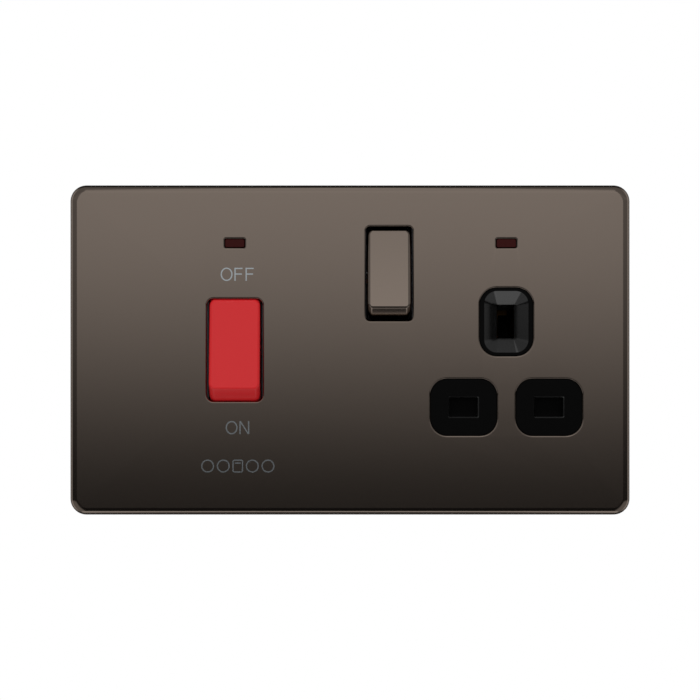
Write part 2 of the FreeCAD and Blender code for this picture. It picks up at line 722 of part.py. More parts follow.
def make_cooker_rocker():
    """Hollow red rocker with a stiffening web, ears and plunger tubes."""
    switch = COOKER
    block = rounded_block(switch, 0, SKIRT_DROP, ROCKER_ROUND, ROCKER_CORNER)
    hollow = rocker_block(switch, ROCKER_WALL, SKIRT_DROP)
    top_drop = switch.face_drop - ROCKER_WALL
    tubes, bores = plunger_tubes(switch, top_drop)
    y0 = switch.pivot_y - top_drop
    reach = switch.half - ROCKER_WALL / 2
    rib = SLOT_WALL / 2
    web = box(switch.x - reach, switch.x + reach, y0, y0 + ROCKER_WEB, switch.z - rib, switch.z + rib)
    shell = block.cut(hollow)
    body = fuse([shell, web] + rocker_ears(switch, switch.half, EAR_R, top_drop) + tubes)
    return switch.tilted(body.cut(fuse(bores)))


def cap_inside():
    """Form on which the metal cap of the socket rocker sits."""
    return rounded_block(SOCKET, CAP_WALL, CAP_DROP, CAP_ROUND - CAP_WALL, CAP_CORNER - CAP_WALL)


def make_socket_rocker_cap():
    """Thin metal cap over the face of the socket rocker."""
    cap = rounded_block(SOCKET, 0, CAP_DROP, CAP_ROUND, CAP_CORNER)
    return SOCKET.tilted(cap.cut(cap_inside()))


def make_socket_rocker_carrier():
    """Black carrier inside the metal cap, with its ears and plunger tube."""
    switch = SOCKET
    hollow = rocker_block(switch, CAP_WALL + ROCKER_WALL, CAP_DROP)
    top_drop = switch.face_drop - CAP_WALL - ROCKER_WALL
    tubes, bores = plunger_tubes(switch, top_drop)
    ears = rocker_ears(switch, switch.half - CAP_WALL, SOCKET_EAR_R, top_drop)
    body = fuse([cap_inside().cut(hollow)] + ears + tubes)
    return switch.tilted(body.cut(fuse(bores)))


def make_plunger(switch, pole):
    """Round-nosed plunger; its nose stands clear of the arm by a small running gap."""
    x = switch.x + pole
    tip_y = switch.pivot_y + PLUNGER_REACH
    stem = rod_y(x, switch.z, PLUNGER_R, switch.pivot_y + PLUNGER_TOP, tip_y)
    nose = Part.makeSphere(PLUNGER_R, V(x, tip_y, switch.z))
    return switch.tilted(fuse([stem, nose]))


def make_plunger_spring(switch, pole, top_drop):
    """Spring between the blind end of the tube and the plunger."""
    length = top_drop + PLUNGER_TOP - 2 * SPRING_PLAY
    spring = coil(PLUNGER_SPRING_R, SPRING_WIRE, length, SPRING_TURNS)
    spring.rotate(V(0, 0, 0), V(1, 0, 0), -90)
    spring.translate(V(switch.x + pole, switch.pivot_y - top_drop + SPRING_PLAY, switch.z))
    return switch.tilted(spring)


def make_arm(switch, pole, reach):
    """See-saw contact arm with a grooved saddle that sits on the fulcrum's knife edge."""
    x0 = switch.x + pole - ARM_WIDTH / 2
    x1 = x0 + ARM_WIDTH
    y, z = switch.fulcrum_y, switch.z
    front = y - ARM_FRONT
    back = front + ARM_THICK
    saddle = y + SADDLE_BACK
    tail = reach * TAIL_SHARE
    tip = reach + CONTACT_R
    outline_points = [
        (front, z - tail), (front, z + tip), (back, z + tip), (back, z + SADDLE_FOOT),
        (saddle, z + SADDLE_HALF), (saddle, z - SADDLE_HALF), (back, z - SADDLE_FOOT), (back, z - tail),
    ]
    arm = prism_x(outline_points, x0, x1)
    groove = KNIFE_R + KNIFE_FIT
    arm = arm.cut(fuse([rod_x(y, z, groove, x0, x1), box(x0, x1, y, saddle, z - groove, z + groove)]))
    return switch.arm_tilted(arm)


def make_arm_contact(switch, pole, reach):
    """Silver contact on the back of the arm's closing end."""
    y0 = switch.fulcrum_y - ARM_FRONT + ARM_THICK
    return switch.arm_tilted(rod_y(switch.x + pole, switch.z + reach, CONTACT_R, y0, y0 + RIVET_THICK))


def make_fixed_contact(switch, pole, reach):
    """Domed silver contact on the fixed strip, just behind the closed arm."""
    half = math.radians(THROW / 2)
    inner = ARM_FRONT - ARM_THICK - RIVET_THICK
    closed_y = switch.fulcrum_y - inner * math.cos(half) + reach * math.sin(half)
    closed_z = switch.z + reach * math.cos(half) + inner * math.sin(half)
    apex = closed_y + CONTACT_GAP
    dome_r = 2 * CONTACT_R
    x = switch.x + pole
    dome = Part.makeSphere(dome_r, V(x, apex + dome_r, closed_z))
    return dome.common(rod_y(x, closed_z, CONTACT_R, apex, switch.strip_y))


def knife(switch, pole):
    """Knife edge that the arm rocks on, standing on its strip."""
    x0 = switch.x + pole - ARM_WIDTH / 2
    stem = KNIFE_R - KNIFE_FIT
    blade = box(x0, x0 + ARM_WIDTH, switch.fulcrum_y, switch.strip_y, switch.z - stem, switch.z + stem)
    return [blade, rod_x(switch.fulcrum_y, switch.z, KNIFE_R, x0, x0 + ARM_WIDTH)]


def terminal_x(pole):
    return COOKER.x + math.copysign(TERMINAL_OFFSET, pole)


def terminal_block(pole, side):
    """Brass block with a cable bore along Z and a clamp screw from the back."""
    x = terminal_x(pole)
    z0, z1 = sorted((side * TERMINAL_IN, side * (TERMINAL_IN + TERMINAL_LENGTH)))
    half = TERMINAL_SIZE / 2
    y1 = TERMINAL_Y + TERMINAL_DEPTH
    block = box(x - half, x + half, TERMINAL_Y, y1, z0, z1)
    bore = rod_z(x, TERMINAL_Y + TERMINAL_DEPTH / 2, TERMINAL_BORE_R, z0, z1)
    thread = rod_y(x, (z0 + z1) / 2, TERMINAL_SCREW_R + PART_FIT, TERMINAL_Y + TERMINAL_DEPTH / 2, y1)
    return block.cut(fuse([bore, thread]))


def pole_strip(pole, z0, z1):
    """Copper strip of one cooker pole, under its arm."""
    x = COOKER.x + pole
    y = COOKER.strip_y
    return box(x - ARM_WIDTH / 2, x + ARM_WIDTH / 2, y, y + STRIP_THICK, z0, z1)


def make_supply_terminal(pole):
    strip = pole_strip(pole, -TERMINAL_IN, COOKER.z + KNIFE_R)
    return fuse([terminal_block(pole, -1), strip] + knife(COOKER, pole))


def make_load_terminal(pole):
    return fuse([terminal_block(pole, 1), pole_strip(pole, COOKER_ARM - CONTACT_R - SPRING_PLAY * 2, TERMINAL_IN)])


def clamp_screw(x, z, bore_back_y):
    """Grub screw, backed off so that the bore is clear."""
    return rod_y(x, z, TERMINAL_SCREW_R, bore_back_y + TERMINAL_SCREW_GAP, BASE_BACK_Y - TERMINAL_SCREW_SUNK)


def make_terminal_screws():
    """Clamp screws of the supply and load terminals."""
    screws = []
    middle = TERMINAL_IN + TERMINAL_LENGTH / 2
    bore_y = TERMINAL_Y + TERMINAL_DEPTH / 2
    for pole in COOKER.poles:
        for side in (-1, 1):
            screws.append(clamp_screw(terminal_x(pole), side * middle, bore_y + TERMINAL_BORE_R))
    return Part.makeCompound(screws)


def make_earth_terminal_block():
    """Brass block with a bore for the supply's earth and one for the load's."""
    x0, x1, z0, z1 = EARTH_BLOCK
    y1 = EARTH_BLOCK_Y + TERMINAL_DEPTH
    y = EARTH_BLOCK_Y + TERMINAL_DEPTH / 2
    cuts = []
    for x in EARTH_BORE_X:
        cuts.append(rod_z(x, y, EARTH_BORE_R, z0, z1))
        cuts.append(rod_y(x, (z0 + z1) / 2, TERMINAL_SCREW_R + PART_FIT, y, y1))
    return box(x0, x1, EARTH_BLOCK_Y, y1, z0, z1).cut(fuse(cuts))


def make_earth_terminal_screws():
    """Clamp screws of the earth block."""
    middle = (EARTH_BLOCK[2] + EARTH_BLOCK[3]) / 2
    bore_back = EARTH_BLOCK_Y + TERMINAL_DEPTH / 2 + EARTH_BORE_R
    return Part.makeCompound([clamp_screw(x, middle, bore_back) for x in EARTH_BORE_X])


def lugs(points, edge_top, edge_bottom):
    """Screw lugs of a rear moulding, with webs back to its walls."""
    adds = []
    for x, z in points:
        adds.append(rod_y(x, z, LUG_R, LUG_FRONT_Y, LUG_BACK_Y))
        wall = edge_top if z > 0 else edge_bottom
        z0, z1 = sorted((z, wall - math.copysign(1, z)))
        adds.append(box(x - LUG_R, x + LUG_R, LUG_FRONT_Y, LUG_BACK_Y, z0, z1))
    return adds


def lug_holes(points):
    return [rod_y(x, z, SCREW_HOLE_R, LUG_FRONT_Y, LUG_BACK_Y) for x, z in points]


def bearing_ring(switch, z0, z1, y1):
    """Walls that stand round a rocker and carry its pivot pins."""
    inner = switch.half + SIDE_FIT
    outer = inner + PIN_LENGTH + PIN_ROOM
    front = FACE_BACK_Y
    wall = box(switch.x - outer, switch.x + outer, front, y1, z0 - SLOT_WALL, z1 + SLOT_WALL)
    room = box(switch.x - inner, switch.x + inner, front, y1, z0, z1)
    return wall, room, rod_x(switch.pivot_y, switch.z, switch.pin_r + PIVOT_FIT, switch.x - outer, switch.x + outer)


def link_notches():
    """Notches in the walls between the rear mouldings for the two link bars."""
    cuts = []
    for y in (LIVE_LINK_Y, NEUTRAL_LINK_Y):
        cuts.append(box(
            COOKER_BASE[1] - BASE_WALL, SOCKET_LEFT + BASE_WALL, y - MOULDING_FIT,
            y + STRIP_THICK + MOULDING_FIT, LINK_Z[0] - MOULDING_FIT, LINK_Z[1] + MOULDING_FIT,
        ))
    return fuse(cuts)


def make_cooker_switch_base():
    """Rear moulding of the cooker switch: bearings, arm pits and terminal pockets."""
    x0, x1, z0, z1 = COOKER_BASE
    outer = slab((x0 + x1) / 2, (z0 + z1) / 2, x1 - x0, z1 - z0, BASE_CORNER, FACE_BACK_Y, BASE_BACK_Y)
    wall = BASE_WALL
    hollow = box(x0 + wall, x1 - wall, FACE_BACK_Y, CHAMBER_FLOOR_Y, z0 + wall, z1 - wall)
    chamber = COOKER.end_radius + CHAMBER_FIT
    ring, room, bearing = bearing_ring(COOKER, -chamber, chamber, CHAMBER_FLOOR_Y)
    body = outer.cut(hollow).fuse(ring.cut(room))
    back = COOKER.strip_y + STRIP_THICK + PART_FIT
    inner = COOKER.half + SIDE_FIT
    pit_half = TERMINAL_IN
    cuts = [bearing, link_notches()]
    for side in (-1, 1):
        p0, p1 = sorted((COOKER.x + side * SLOT_WALL / 2, COOKER.x + side * inner))
        cuts.append(box(p0, p1, CHAMBER_FLOOR_Y, back, -pit_half, pit_half))
    middle = TERMINAL_IN + TERMINAL_LENGTH / 2
    bore_y = TERMINAL_Y + TERMINAL_DEPTH / 2
    for pole in COOKER.poles:
        x = terminal_x(pole)
        half = TERMINAL_SIZE / 2 + PART_FIT
        for side in (-1, 1):
            s0, s1 = sorted((side * (pit_half - PART_FIT), side * (TERMINAL_END + PART_FIT)))
            cuts.append(box(x - half, x + half, CHAMBER_FLOOR_Y, TERMINAL_Y + TERMINAL_DEPTH + PART_FIT, s0, s1))
            c0, c1 = sorted((side * middle, side * (z1 + 1)))
            cuts.append(rod_z(x, bore_y, TERMINAL_BORE_R + CABLE_CLEAR, c0, c1))
            cuts.append(rod_y(x, side * middle, TERMINAL_SCREW_R + CABLE_CLEAR, bore_y, BASE_BACK_Y))
    body = fuse([body] + lugs(COOKER_LUGS, z1, z0))
    return body.cut(fuse(cuts + lug_holes(COOKER_LUGS)))


def socket_outline(inset, y0, y1):
    """Stepped outline of the socket's rear moulding, drawn in by an inset."""
    steps = [box(x0 + inset, x1 - inset, y0, y1, z0 + inset, z1 - inset) for x0, x1, z0, z1 in SOCKET_BASE]
    return fuse(steps)


def make_socket_base():
    """Rear moulding of the socket outlet, with seats for its receptacles and earth block."""
    outer = socket_outline(0, FACE_BACK_Y, BASE_BACK_Y)
    outer = outer.makeFillet(BASE_EDGE, edges_along(outer, V(0, 1, 0)))
    body = outer.cut(socket_outline(BASE_WALL, FACE_BACK_Y, BASE_FLOOR_Y))
    top = SOCKET_TOP - BASE_WALL
    ring_bottom = SOCKET.z - SOCKET.end_radius - RING_FIT
    ring, room, bearing = bearing_ring(SOCKET, ring_bottom, top, BASE_FLOOR_Y)
    adds = [ring.cut(room)]
    half = LINE_LEAF_HALF
    for x in (NEUTRAL_X, LIVE_X):
        adds.append(box(
            x - half, x + half, SOCKET.strip_y + STRIP_THICK, BASE_FLOOR_Y,
            LINE_Z - PIN_HALF_THICK, LINE_Z + PIN_HALF_THICK,
        ))
    bx0, bx1, bz0, bz1 = EARTH_BLOCK
    bottom = SOCKET_BOTTOM + BASE_WALL
    for x in (bx0 - PART_FIT - SLOT_WALL, bx1 + PART_FIT):
        adds.append(box(x, x + SLOT_WALL, EARTH_BLOCK_Y, BASE_FLOOR_Y, bottom, bz1 - BASE_WALL))
    adds.append(rod_z(OUTLET_X, SHUTTER_SPRING_Y, SPRING_PEG_R, bottom, bottom + SPRING_PEG_LENGTH))
    adds.extend(lugs(SOCKET_LUGS[:2], 0, SOCKET_BOTTOM))
    adds.extend(lugs(SOCKET_LUGS[3:], OUTLET_TOP, 0))
    side_lug = SOCKET_LUGS[2]
    adds.append(rod_y(side_lug[0], side_lug[1], LUG_R, LUG_FRONT_Y, LUG_BACK_Y))
    adds.append(box(
        side_lug[0], SOCKET_LEFT + 1, LUG_FRONT_Y, LUG_BACK_Y, side_lug[1] - LUG_R, side_lug[1] + LUG_R,
    ))
    cuts = [bearing, link_notches()] + lug_holes(SOCKET_LUGS)
    y0 = SOCKET.strip_y - MOULDING_FIT
    y1 = SOCKET.strip_y + STRIP_THICK + MOULDING_FIT
    outer_x = SOCKET.half + SIDE_FIT + PIN_LENGTH + 2 * PIN_ROOM
    inner_x = SOCKET.half - ARM_WIDTH / 2
    fx, fz = FEED_Z
    cuts.append(box(SOCKET.x - outer_x, SOCKET.x - inner_x, y0, y1, fx - MOULDING_FIT, fz + MOULDING_FIT))
    lx, lz = CONTACT_STRIP_Z
    cuts.append(box(SOCKET.x + inner_x, SOCKET.x + outer_x, y0, y1, lx - MOULDING_FIT, lz + MOULDING_FIT))
    bore_y = EARTH_BLOCK_Y + TERMINAL_DEPTH / 2
    for x in EARTH_BORE_X:
        cuts.append(rod_z(x, bore_y, EARTH_BORE_R + CABLE_CLEAR, SOCKET_BOTTOM - 1, bottom + 1))
        cuts.append(rod_y(x, (bz0 + bz1) / 2, TERMINAL_SCREW_R + CABLE_CLEAR, BASE_FLOOR_Y - 1, BASE_BACK_Y))
    return fuse([body] + adds).cut(fuse(cuts))


def make_base_screws():
    """Pan head screws from the back, through the lugs into the front moulding."""
    screws = []
    tip_y = FACE_BACK_Y - FACE_WALL / 2 + MOULDING_FIT
    head_y = LUG_BACK_Y
    for x, z in COOKER_LUGS + SOCKET_LUGS:
        head = rod_y(x, z, BASE_HEAD_R, head_y, head_y + BASE_HEAD_HEIGHT)
        screws.append(fuse([head, rod_y(x, z, PILOT_R - PIVOT_FIT, tip_y, head_y)]))
    return Part.makeCompound(screws)


def make_mounting_screws():
    """The two M3.5 screws that go into the wall box."""
    screws = []
    seat_y = FLOOR_FRONT_Y - CLIP_THICK
    for x in (-FIXING_SPAN / 2, FIXING_SPAN / 2):
        head = rod_y(x, 0, SCREW_HEAD_R, seat_y - SCREW_HEAD_HEIGHT, seat_y)
        neck = rod_y(x, 0, SCREW_NECK_R, seat_y, 0)
        shank = rod_y(x, 0, SCREW_R, 0, SCREW_LENGTH)
        point = Part.makeCone(SCREW_R, SCREW_POINT_R, SCREW_POINT, V(x, SCREW_LENGTH, 0), V(0, 1, 0))
        screws.append(fuse([head, neck, shank, point]))
    return Part.makeCompound(screws)


def make_plate_earth_clips():
    """Bronze clips under the screw heads, whose fingers press on the back of the plate."""
    clips = []
    for side in (-1, 1):
        x = side * FIXING_SPAN / 2
        y0 = FLOOR_FRONT_Y - CLIP_THICK
        ring = rod_y(x, 0, CLIP_REACH, y0, FLOOR_FRONT_Y)
        reach = side * CLIP_REACH
        front = PLATE_BACK_Y + CLIP_GAP
        f0, f1 = sorted((x + reach, x + reach - side * CLIP_THICK))
        leg = box(f0, f1, front, FLOOR_FRONT_Y, -CLIP_HALF, CLIP_HALF)
        t0, t1 = sorted((x + reach, x + reach - side * CLIP_TAB))
        tab = box(t0, t1, front, front + CLIP_THICK, -CLIP_HALF, CLIP_HALF)
        hole = rod_y(x, 0, FIXING_HOLE_R, y0, FLOOR_FRONT_Y)
        clips.append(fuse([ring, leg, tab]).cut(hole))
    return Part.makeCompound(clips)


def make_neon_lens(x):
    """Dark red lens: a head that fills the window and a flange behind the moulding."""
    fit = 2 * BOSS_FIT
    head = slab(x, NEON_Z, NEON_WINDOW[0] - fit, NEON_WINDOW[1] - fit, NEON_WINDOW[2], BOSS_FRONT_Y, FACE_BACK_Y)
    width, height, corner = LENS_FLANGE
    flange = slab(x, NEON_Z, width, height, corner, FACE_BACK_Y, FACE_BACK_Y + LENS_FLANGE_THICK)
    return fuse([head, flange])


def make_neon_lamp(x):
    """Small glass lamp with rounded ends, lying behind the lens."""
    y = FACE_BACK_Y + LENS_FLANGE_THICK + PART_FIT + LAMP_R
    half = LAMP_LENGTH / 2
    lamp = rod_x(y, NEON_Z, LAMP_R, x - half, x + half)
    rims = [e for e in lamp.Edges if isinstance(e.Curve, Part.Circle)]
    return lamp.makeFillet(LAMP_R * LAMP_END, rims)


def make_neon_resistor(x):
    """Series resistor in the same pocket, behind the lamp."""
    y = FACE_BACK_Y + LENS_FLANGE_THICK + 2 * PART_FIT + 2 * LAMP_R + RESISTOR_R
    body = rod_x(y, NEON_Z, RESISTOR_R, x - RESISTOR_LENGTH / 2, x + RESISTOR_LENGTH / 2)
    leads = rod_x(y, NEON_Z, LEAD_R, x - LAMP_LENGTH / 2, x + LAMP_LENGTH / 2)
    return fuse([body, leads])


def spring_leaf_profile(mouth_y, back_y):
    """Sprung U of a receptacle: flared mouth, pinched waist and a flat back."""
    half = PIN_HALF_THICK
    wall = LEAF_WALL
    pinch = half - LEAF_PINCH
    flare = half + LEAF_FLARE
    waist_y = mouth_y + LEAF_NECK
    run_y = waist_y + LEAF_RUN
    return [
        (flare, mouth_y), (pinch, waist_y), (half, run_y), (half, back_y - wall),
        (-half, back_y - wall), (-half, run_y), (-pinch, waist_y), (-flare, mouth_y),
        (-flare - wall, mouth_y), (-pinch - wall, waist_y), (-half - wall, run_y),
        (-half - wall, back_y), (half + wall, back_y), (half + wall, run_y),
        (pinch + wall, waist_y), (flare + wall, mouth_y),
    ]


def make_line_receptacle(x):
    """Live or neutral receptacle, gripping the flat pin from above and below."""
    profile = spring_leaf_profile(LINE_MOUTH_Y, SOCKET.strip_y)
    points = [(y, LINE_Z + across) for across, y in profile]
    return prism_x(points, x - LINE_LEAF_HALF, x + LINE_LEAF_HALF)


def make_earth_receptacle():
    """Earth receptacle, gripping the longer pin from left and right."""
    profile = spring_leaf_profile(EARTH_MOUTH_Y, EARTH_BACK_Y)
    points = [(OUTLET_X + across, y) for across, y in profile]
    return prism_z(points, EARTH_Z - EARTH_LEAF_HALF, EARTH_Z + EARTH_LEAF_HALF)


def make_earth_strap():
    """Strap from the earth block to the back of the earth receptacle."""
    y0 = EARTH_BACK_Y
    y1 = y0 + STRAP_THICK
    middle_x = (EARTH_BLOCK[0] + EARTH_BLOCK[1]) / 2 + STRAP_SHIFT
    left = middle_x - STRAP_HALF
    low, high = STRAP_Z
    rise = box(left, left + 2 * STRAP_HALF, y0, y1, EARTH_BLOCK[3], high)
    run = box(left, OUTLET_X + STRAP_HALF, y0, y1, low, high)
    tab = box(OUTLET_X - STRAP_HALF, OUTLET_X + STRAP_HALF, y0, y1, low, EARTH_Z + STRAP_HALF)
    return fuse([rise, run, tab])


def make_shutter():
    """Sliding shutter: a bar across both line slots, a stem and the ramp that the pin pushes."""
    y0 = SHUTTER_FACE_Y + MOULDING_FIT
    y1 = SHUTTER_BACK_Y
    top = LINE_Z + SHUTTER_HALF_HEIGHT
    bar = box(
        OUTLET_X - SHUTTER_HALF_WIDTH, OUTLET_X + SHUTTER_HALF_WIDTH, y0, y1,
        LINE_Z - SHUTTER_HALF_HEIGHT, top,
    )
    slot_foot = EARTH_Z - EARTH_SLOT[1] / 2
    ramp_y = RAMP_START_Y + SHUTTER_TRAVEL
    back_y = RAMP_BACK + SHUTTER_TRAVEL
    root = top - RAIL_LAP
    ramp = [
        (y0, root), (y0, slot_foot - PART_FIT), (RAMP_START_Y, slot_foot - PART_FIT),
        (ramp_y, slot_foot + SHUTTER_TRAVEL), (back_y, slot_foot + SHUTTER_TRAVEL),
        (back_y, slot_foot + RAMP_BACK), (y1 + RAMP_TOP, slot_foot - RAMP_FOOT), (y1, slot_foot - RAMP_FOOT),
        (y1, root),
    ]
    stem = prism_x(ramp, OUTLET_X - SHUTTER_STEM_HALF, OUTLET_X + SHUTTER_STEM_HALF)
    seat_half = SHUTTER_SPRING_R + SPRING_WIRE + SPRING_PLAY
    seat = box(
        OUTLET_X - seat_half, OUTLET_X + seat_half, y1, SHUTTER_SPRING_Y + SHUTTER_SPRING_R + SPRING_WIRE / 2,
        SPRING_SEAT_Z, SPRING_SEAT_Z + SHUTTER_THICK,
    )
    return fuse([bar, stem, seat])


def make_shutter_spring():
    """Return spring between the shutter's seat and the floor of the rear moulding."""
    bottom = SOCKET_BOTTOM + BASE_WALL
    spring = coil(SHUTTER_SPRING_R, SPRING_WIRE, SPRING_SEAT_Z - bottom - 2 * SPRING_PLAY, SPRING_TURNS)
    spring.translate(V(OUTLET_X, SHUTTER_SPRING_Y, bottom + SPRING_PLAY))
    return spring


def make_live_link_bar():
    """Copper bar from the live supply block to the socket switch."""
    y0 = LIVE_LINK_Y
    y1 = y0 + STRIP_THICK
    z0, z1 = LINK_Z
    start = terminal_x(COOKER.poles[0]) - LINK_WIDTH / 2
    turn = SOCKET_LEFT + BASE_WALL + 2 * BASE_JOIN
    side = turn + LINK_WIDTH
    leg = box(start, start + STRIP_THICK, y0, TERMINAL_Y, z0, z1)
    run = box(start, side, y0, y1, z0, z1)
    rise = box(turn, side, y0, y1, z0, FEED_Z[1])
    feed = box(side - STRIP_THICK, side, y0, SOCKET.strip_y + STRIP_THICK, FEED_Z[0], FEED_Z[1])
    return fuse([leg, run, rise, feed])


def make_socket_fulcrum():
    """Bracket that carries the socket switch's knife edge."""
    x0 = SOCKET_LEFT + BASE_WALL + 2 * BASE_JOIN + LINK_WIDTH
    strip = box(x0, SOCKET.x + ARM_WIDTH / 2, SOCKET.strip_y, SOCKET.strip_y + STRIP_THICK, FEED_Z[0], FEED_Z[1])
    return fuse([strip] + knife(SOCKET, 0.0))


def make_neutral_link_bar():
    """Copper bar from the neutral supply block to the neutral receptacle."""
    y0 = NEUTRAL_LINK_Y
    y1 = y0 + STRIP_THICK
    z0, z1 = LINK_Z
    start = terminal_x(COOKER.poles[1]) - LINK_WIDTH / 2
    x0, x1 = NEUTRAL_X - LINE_LEAF_HALF, NEUTRAL_X + LINE_LEAF_HALF
    back = SOCKET.strip_y + STRIP_THICK
    leg = box(start, start + STRIP_THICK, y0, TERMINAL_Y, z0, z1)
    run = box(start, x1, y0, y1, z0, z1)
    foot = box(x0, x1, y0, back, z1 - STRIP_THICK, z1)
    tab = box(x0, x1, SOCKET.strip_y, back, z1 - STRIP_THICK, LINE_Z + PIN_HALF_THICK)
    return fuse([leg, run, foot, tab])


def make_switched_live_strip():
    """Strip from the socket switch's fixed contact to the live receptacle."""
    y0 = SOCKET.strip_y
    y1 = y0 + STRIP_THICK
    z0, z1 = CONTACT_STRIP_Z
    right = SOCKET_BASE[1][1] - BASE_WALL - BASE_JOIN
    down = SOCKET_BASE[0][1] - BASE_WALL - 3 * BASE_JOIN
    low = EARTH_Z + EARTH_LEAF_HALF + LINK_WIDTH
    high = low + LINK_WIDTH
    foot_low = LINE_Z - LINE_LEAF_HALF
    foot_high = LINE_Z + LINE_LEAF_HALF
    return fuse([
        box(SOCKET.x - ARM_WIDTH / 2, down, y0, y1, z0, z1),
        box(down - LINK_WIDTH, down, y0, y1, low, z1),
        box(down - LINK_WIDTH, right, y0, y1, low, high),
        box(right - LINK_WIDTH, right, y0, y1, foot_low, high),
        box(right - LINK_WIDTH, LIVE_X + PIN_HALF_THICK, y0, y1, foot_low, foot_high),
    ])


def main():
    os.makedirs("parts", exist_ok=True)
    save("front_plate", make_front_plate())
    save("mounting_frame", make_mounting_frame())
    save("front_moulding", make_front_moulding())
    save("socket_face", make_socket_face())
    save("cooker_switch_base", make_cooker_switch_base())
    save("socket_base", make_socket_base())
    save("base_screws", make_base_screws())
    save("mounting_screws", make_mounting_screws())
    save("plate_earth_clips", make_plate_earth_clips())
    save("cooker_rocker", make_cooker_rocker())
    save("socket_rocker_cap", make_socket_rocker_cap())
    save("socket_rocker_carrier", make_socket_rocker_carrier())
    cooker_top = COOKER.face_drop - ROCKER_WALL
    for name, pole in zip(("live", "neutral"), COOKER.poles):
        save("cooker_" + name + "_plunger", make_plunger(COOKER, pole))
        save("cooker_" + name + "_spring", make_plunger_spring(COOKER, pole, cooker_top))
        save("cooker_" + name + "_arm", make_arm(COOKER, pole, COOKER_ARM))
        save("cooker_" + name + "_arm_contact", make_arm_contact(COOKER, pole, COOKER_ARM))
        save("supply_" + name + "_terminal", make_supply_terminal(pole))
        save("load_" + name + "_terminal", make_load_terminal(pole))
    socket_top = SOCKET.face_drop - CAP_WALL - ROCKER_WALL
    save("socket_plunger", make_plunger(SOCKET, 0.0))
    save("socket_plunger_spring", make_plunger_spring(SOCKET, 0.0, socket_top))
    save("socket_arm", make_arm(SOCKET, 0.0, SOCKET_ARM))
    save("socket_arm_contact", make_arm_contact(SOCKET, 0.0, SOCKET_ARM))
    fixed = [make_fixed_contact(COOKER, pole, COOKER_ARM) for pole in COOKER.poles]
    save("fixed_contacts", Part.makeCompound(fixed + [make_fixed_contact(SOCKET, 0.0, SOCKET_ARM)]))
    save("terminal_screws", make_terminal_screws())
    save("earth_terminal_block", make_earth_terminal_block())
    save("earth_terminal_screws", make_earth_terminal_screws())
    save("live_link_bar", make_live_link_bar())
    save("neutral_link_bar", make_neutral_link_bar())
    save("socket_fulcrum", make_socket_fulcrum())
    save("switched_live_strip", make_switched_live_strip())
    save("live_receptacle", make_line_receptacle(LIVE_X))
    save("neutral_receptacle", make_line_receptacle(NEUTRAL_X))
    save("earth_receptacle", make_earth_receptacle())
    save("earth_strap", make_earth_strap())
    save("shutter", make_shutter())
    save("shutter_spring", make_shutter_spring())
    for name, x in zip(("cooker", "socket"), NEON_X):
        save(name + "_neon_lens", make_neon_lens(x))
        save(name + "_neon_lamp", make_neon_lamp(x))
        save(name + "_neon_resistor", make_neon_resistor(x))


main()
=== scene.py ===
import functools
import json
import math

import bmesh
import bpy
from mathutils import Matrix, Vector


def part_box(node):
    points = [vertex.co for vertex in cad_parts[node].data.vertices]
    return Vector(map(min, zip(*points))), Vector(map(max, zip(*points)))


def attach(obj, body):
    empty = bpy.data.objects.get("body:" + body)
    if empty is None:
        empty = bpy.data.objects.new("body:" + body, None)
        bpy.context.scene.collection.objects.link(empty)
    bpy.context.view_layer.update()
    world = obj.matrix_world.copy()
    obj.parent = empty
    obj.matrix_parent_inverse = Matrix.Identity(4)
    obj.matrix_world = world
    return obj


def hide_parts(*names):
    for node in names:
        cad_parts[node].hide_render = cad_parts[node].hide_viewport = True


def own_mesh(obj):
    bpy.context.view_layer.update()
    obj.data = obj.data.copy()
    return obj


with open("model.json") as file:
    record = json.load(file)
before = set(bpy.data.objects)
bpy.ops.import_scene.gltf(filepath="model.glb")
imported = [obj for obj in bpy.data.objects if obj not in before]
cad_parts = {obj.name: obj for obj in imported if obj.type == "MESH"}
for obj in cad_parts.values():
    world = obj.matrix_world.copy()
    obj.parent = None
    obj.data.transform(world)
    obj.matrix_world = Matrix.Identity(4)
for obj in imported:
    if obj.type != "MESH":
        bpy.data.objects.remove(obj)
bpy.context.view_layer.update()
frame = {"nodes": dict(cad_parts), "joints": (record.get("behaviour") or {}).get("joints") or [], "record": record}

bl_info = {
    "name": "Cooker control unit",
    "version": (1, 0, 0),
    "blender": (4, 5, 0),
    "location": "3D View > Sidebar > Cooker unit",
    "description": "Dresses the packed cooker control unit and sets it in a plain studio",
    "category": "Object",
}

# Lengths are metres and angles are radians. X runs to the right, Y into the wall and Z up.
MM = 0.001
RECORD = frame["record"]
SLOT_OF = {part["node"]: part["material_slot"] for part in RECORD["subparts"]}
BODY_OF = {node: body for body, nodes in RECORD["behaviour"]["bodies"].items() for node in nodes}
JOINTS = {joint["name"]: joint for joint in frame["joints"]}

WELD = 0.001 * MM
FLAT_ANGLE = math.radians(0.5)
SHARP_ANGLE = math.radians(32)
# A face of the black mouldings is flat if its normal lies this close to Y.
FLAT_FACING = 0.97
CORNER_STEPS = 12
EDGE_STEPS = 8
TURN_STEPS = 40
BEVEL_SEGMENTS = 2
# How far printed and painted detail stands out of what it is on.
PROUD = 0.02 * MM
# A quarter round, as shares of its radius: how far each ring is set in, and how far it is sunk.
QUARTER_TURNS = [step / EDGE_STEPS * math.pi / 2 for step in range(EDGE_STEPS + 1)]
QUARTER_ROUND = [(1 - math.sin(turn), 1 - math.cos(turn)) for turn in QUARTER_TURNS]
# Nodes whose edges are already round in the frame.
ROUNDED_NODES = ("socket_rocker_carrier", "socket_face")


def linear(code):
    """Linear colour of an sRGB hex value."""
    parts = [int(code[i:i + 2], 16) / 255 for i in (1, 3, 5)]
    return tuple(p / 12.92 if p <= 0.04045 else ((p + 0.055) / 1.055) ** 2.4 for p in parts)


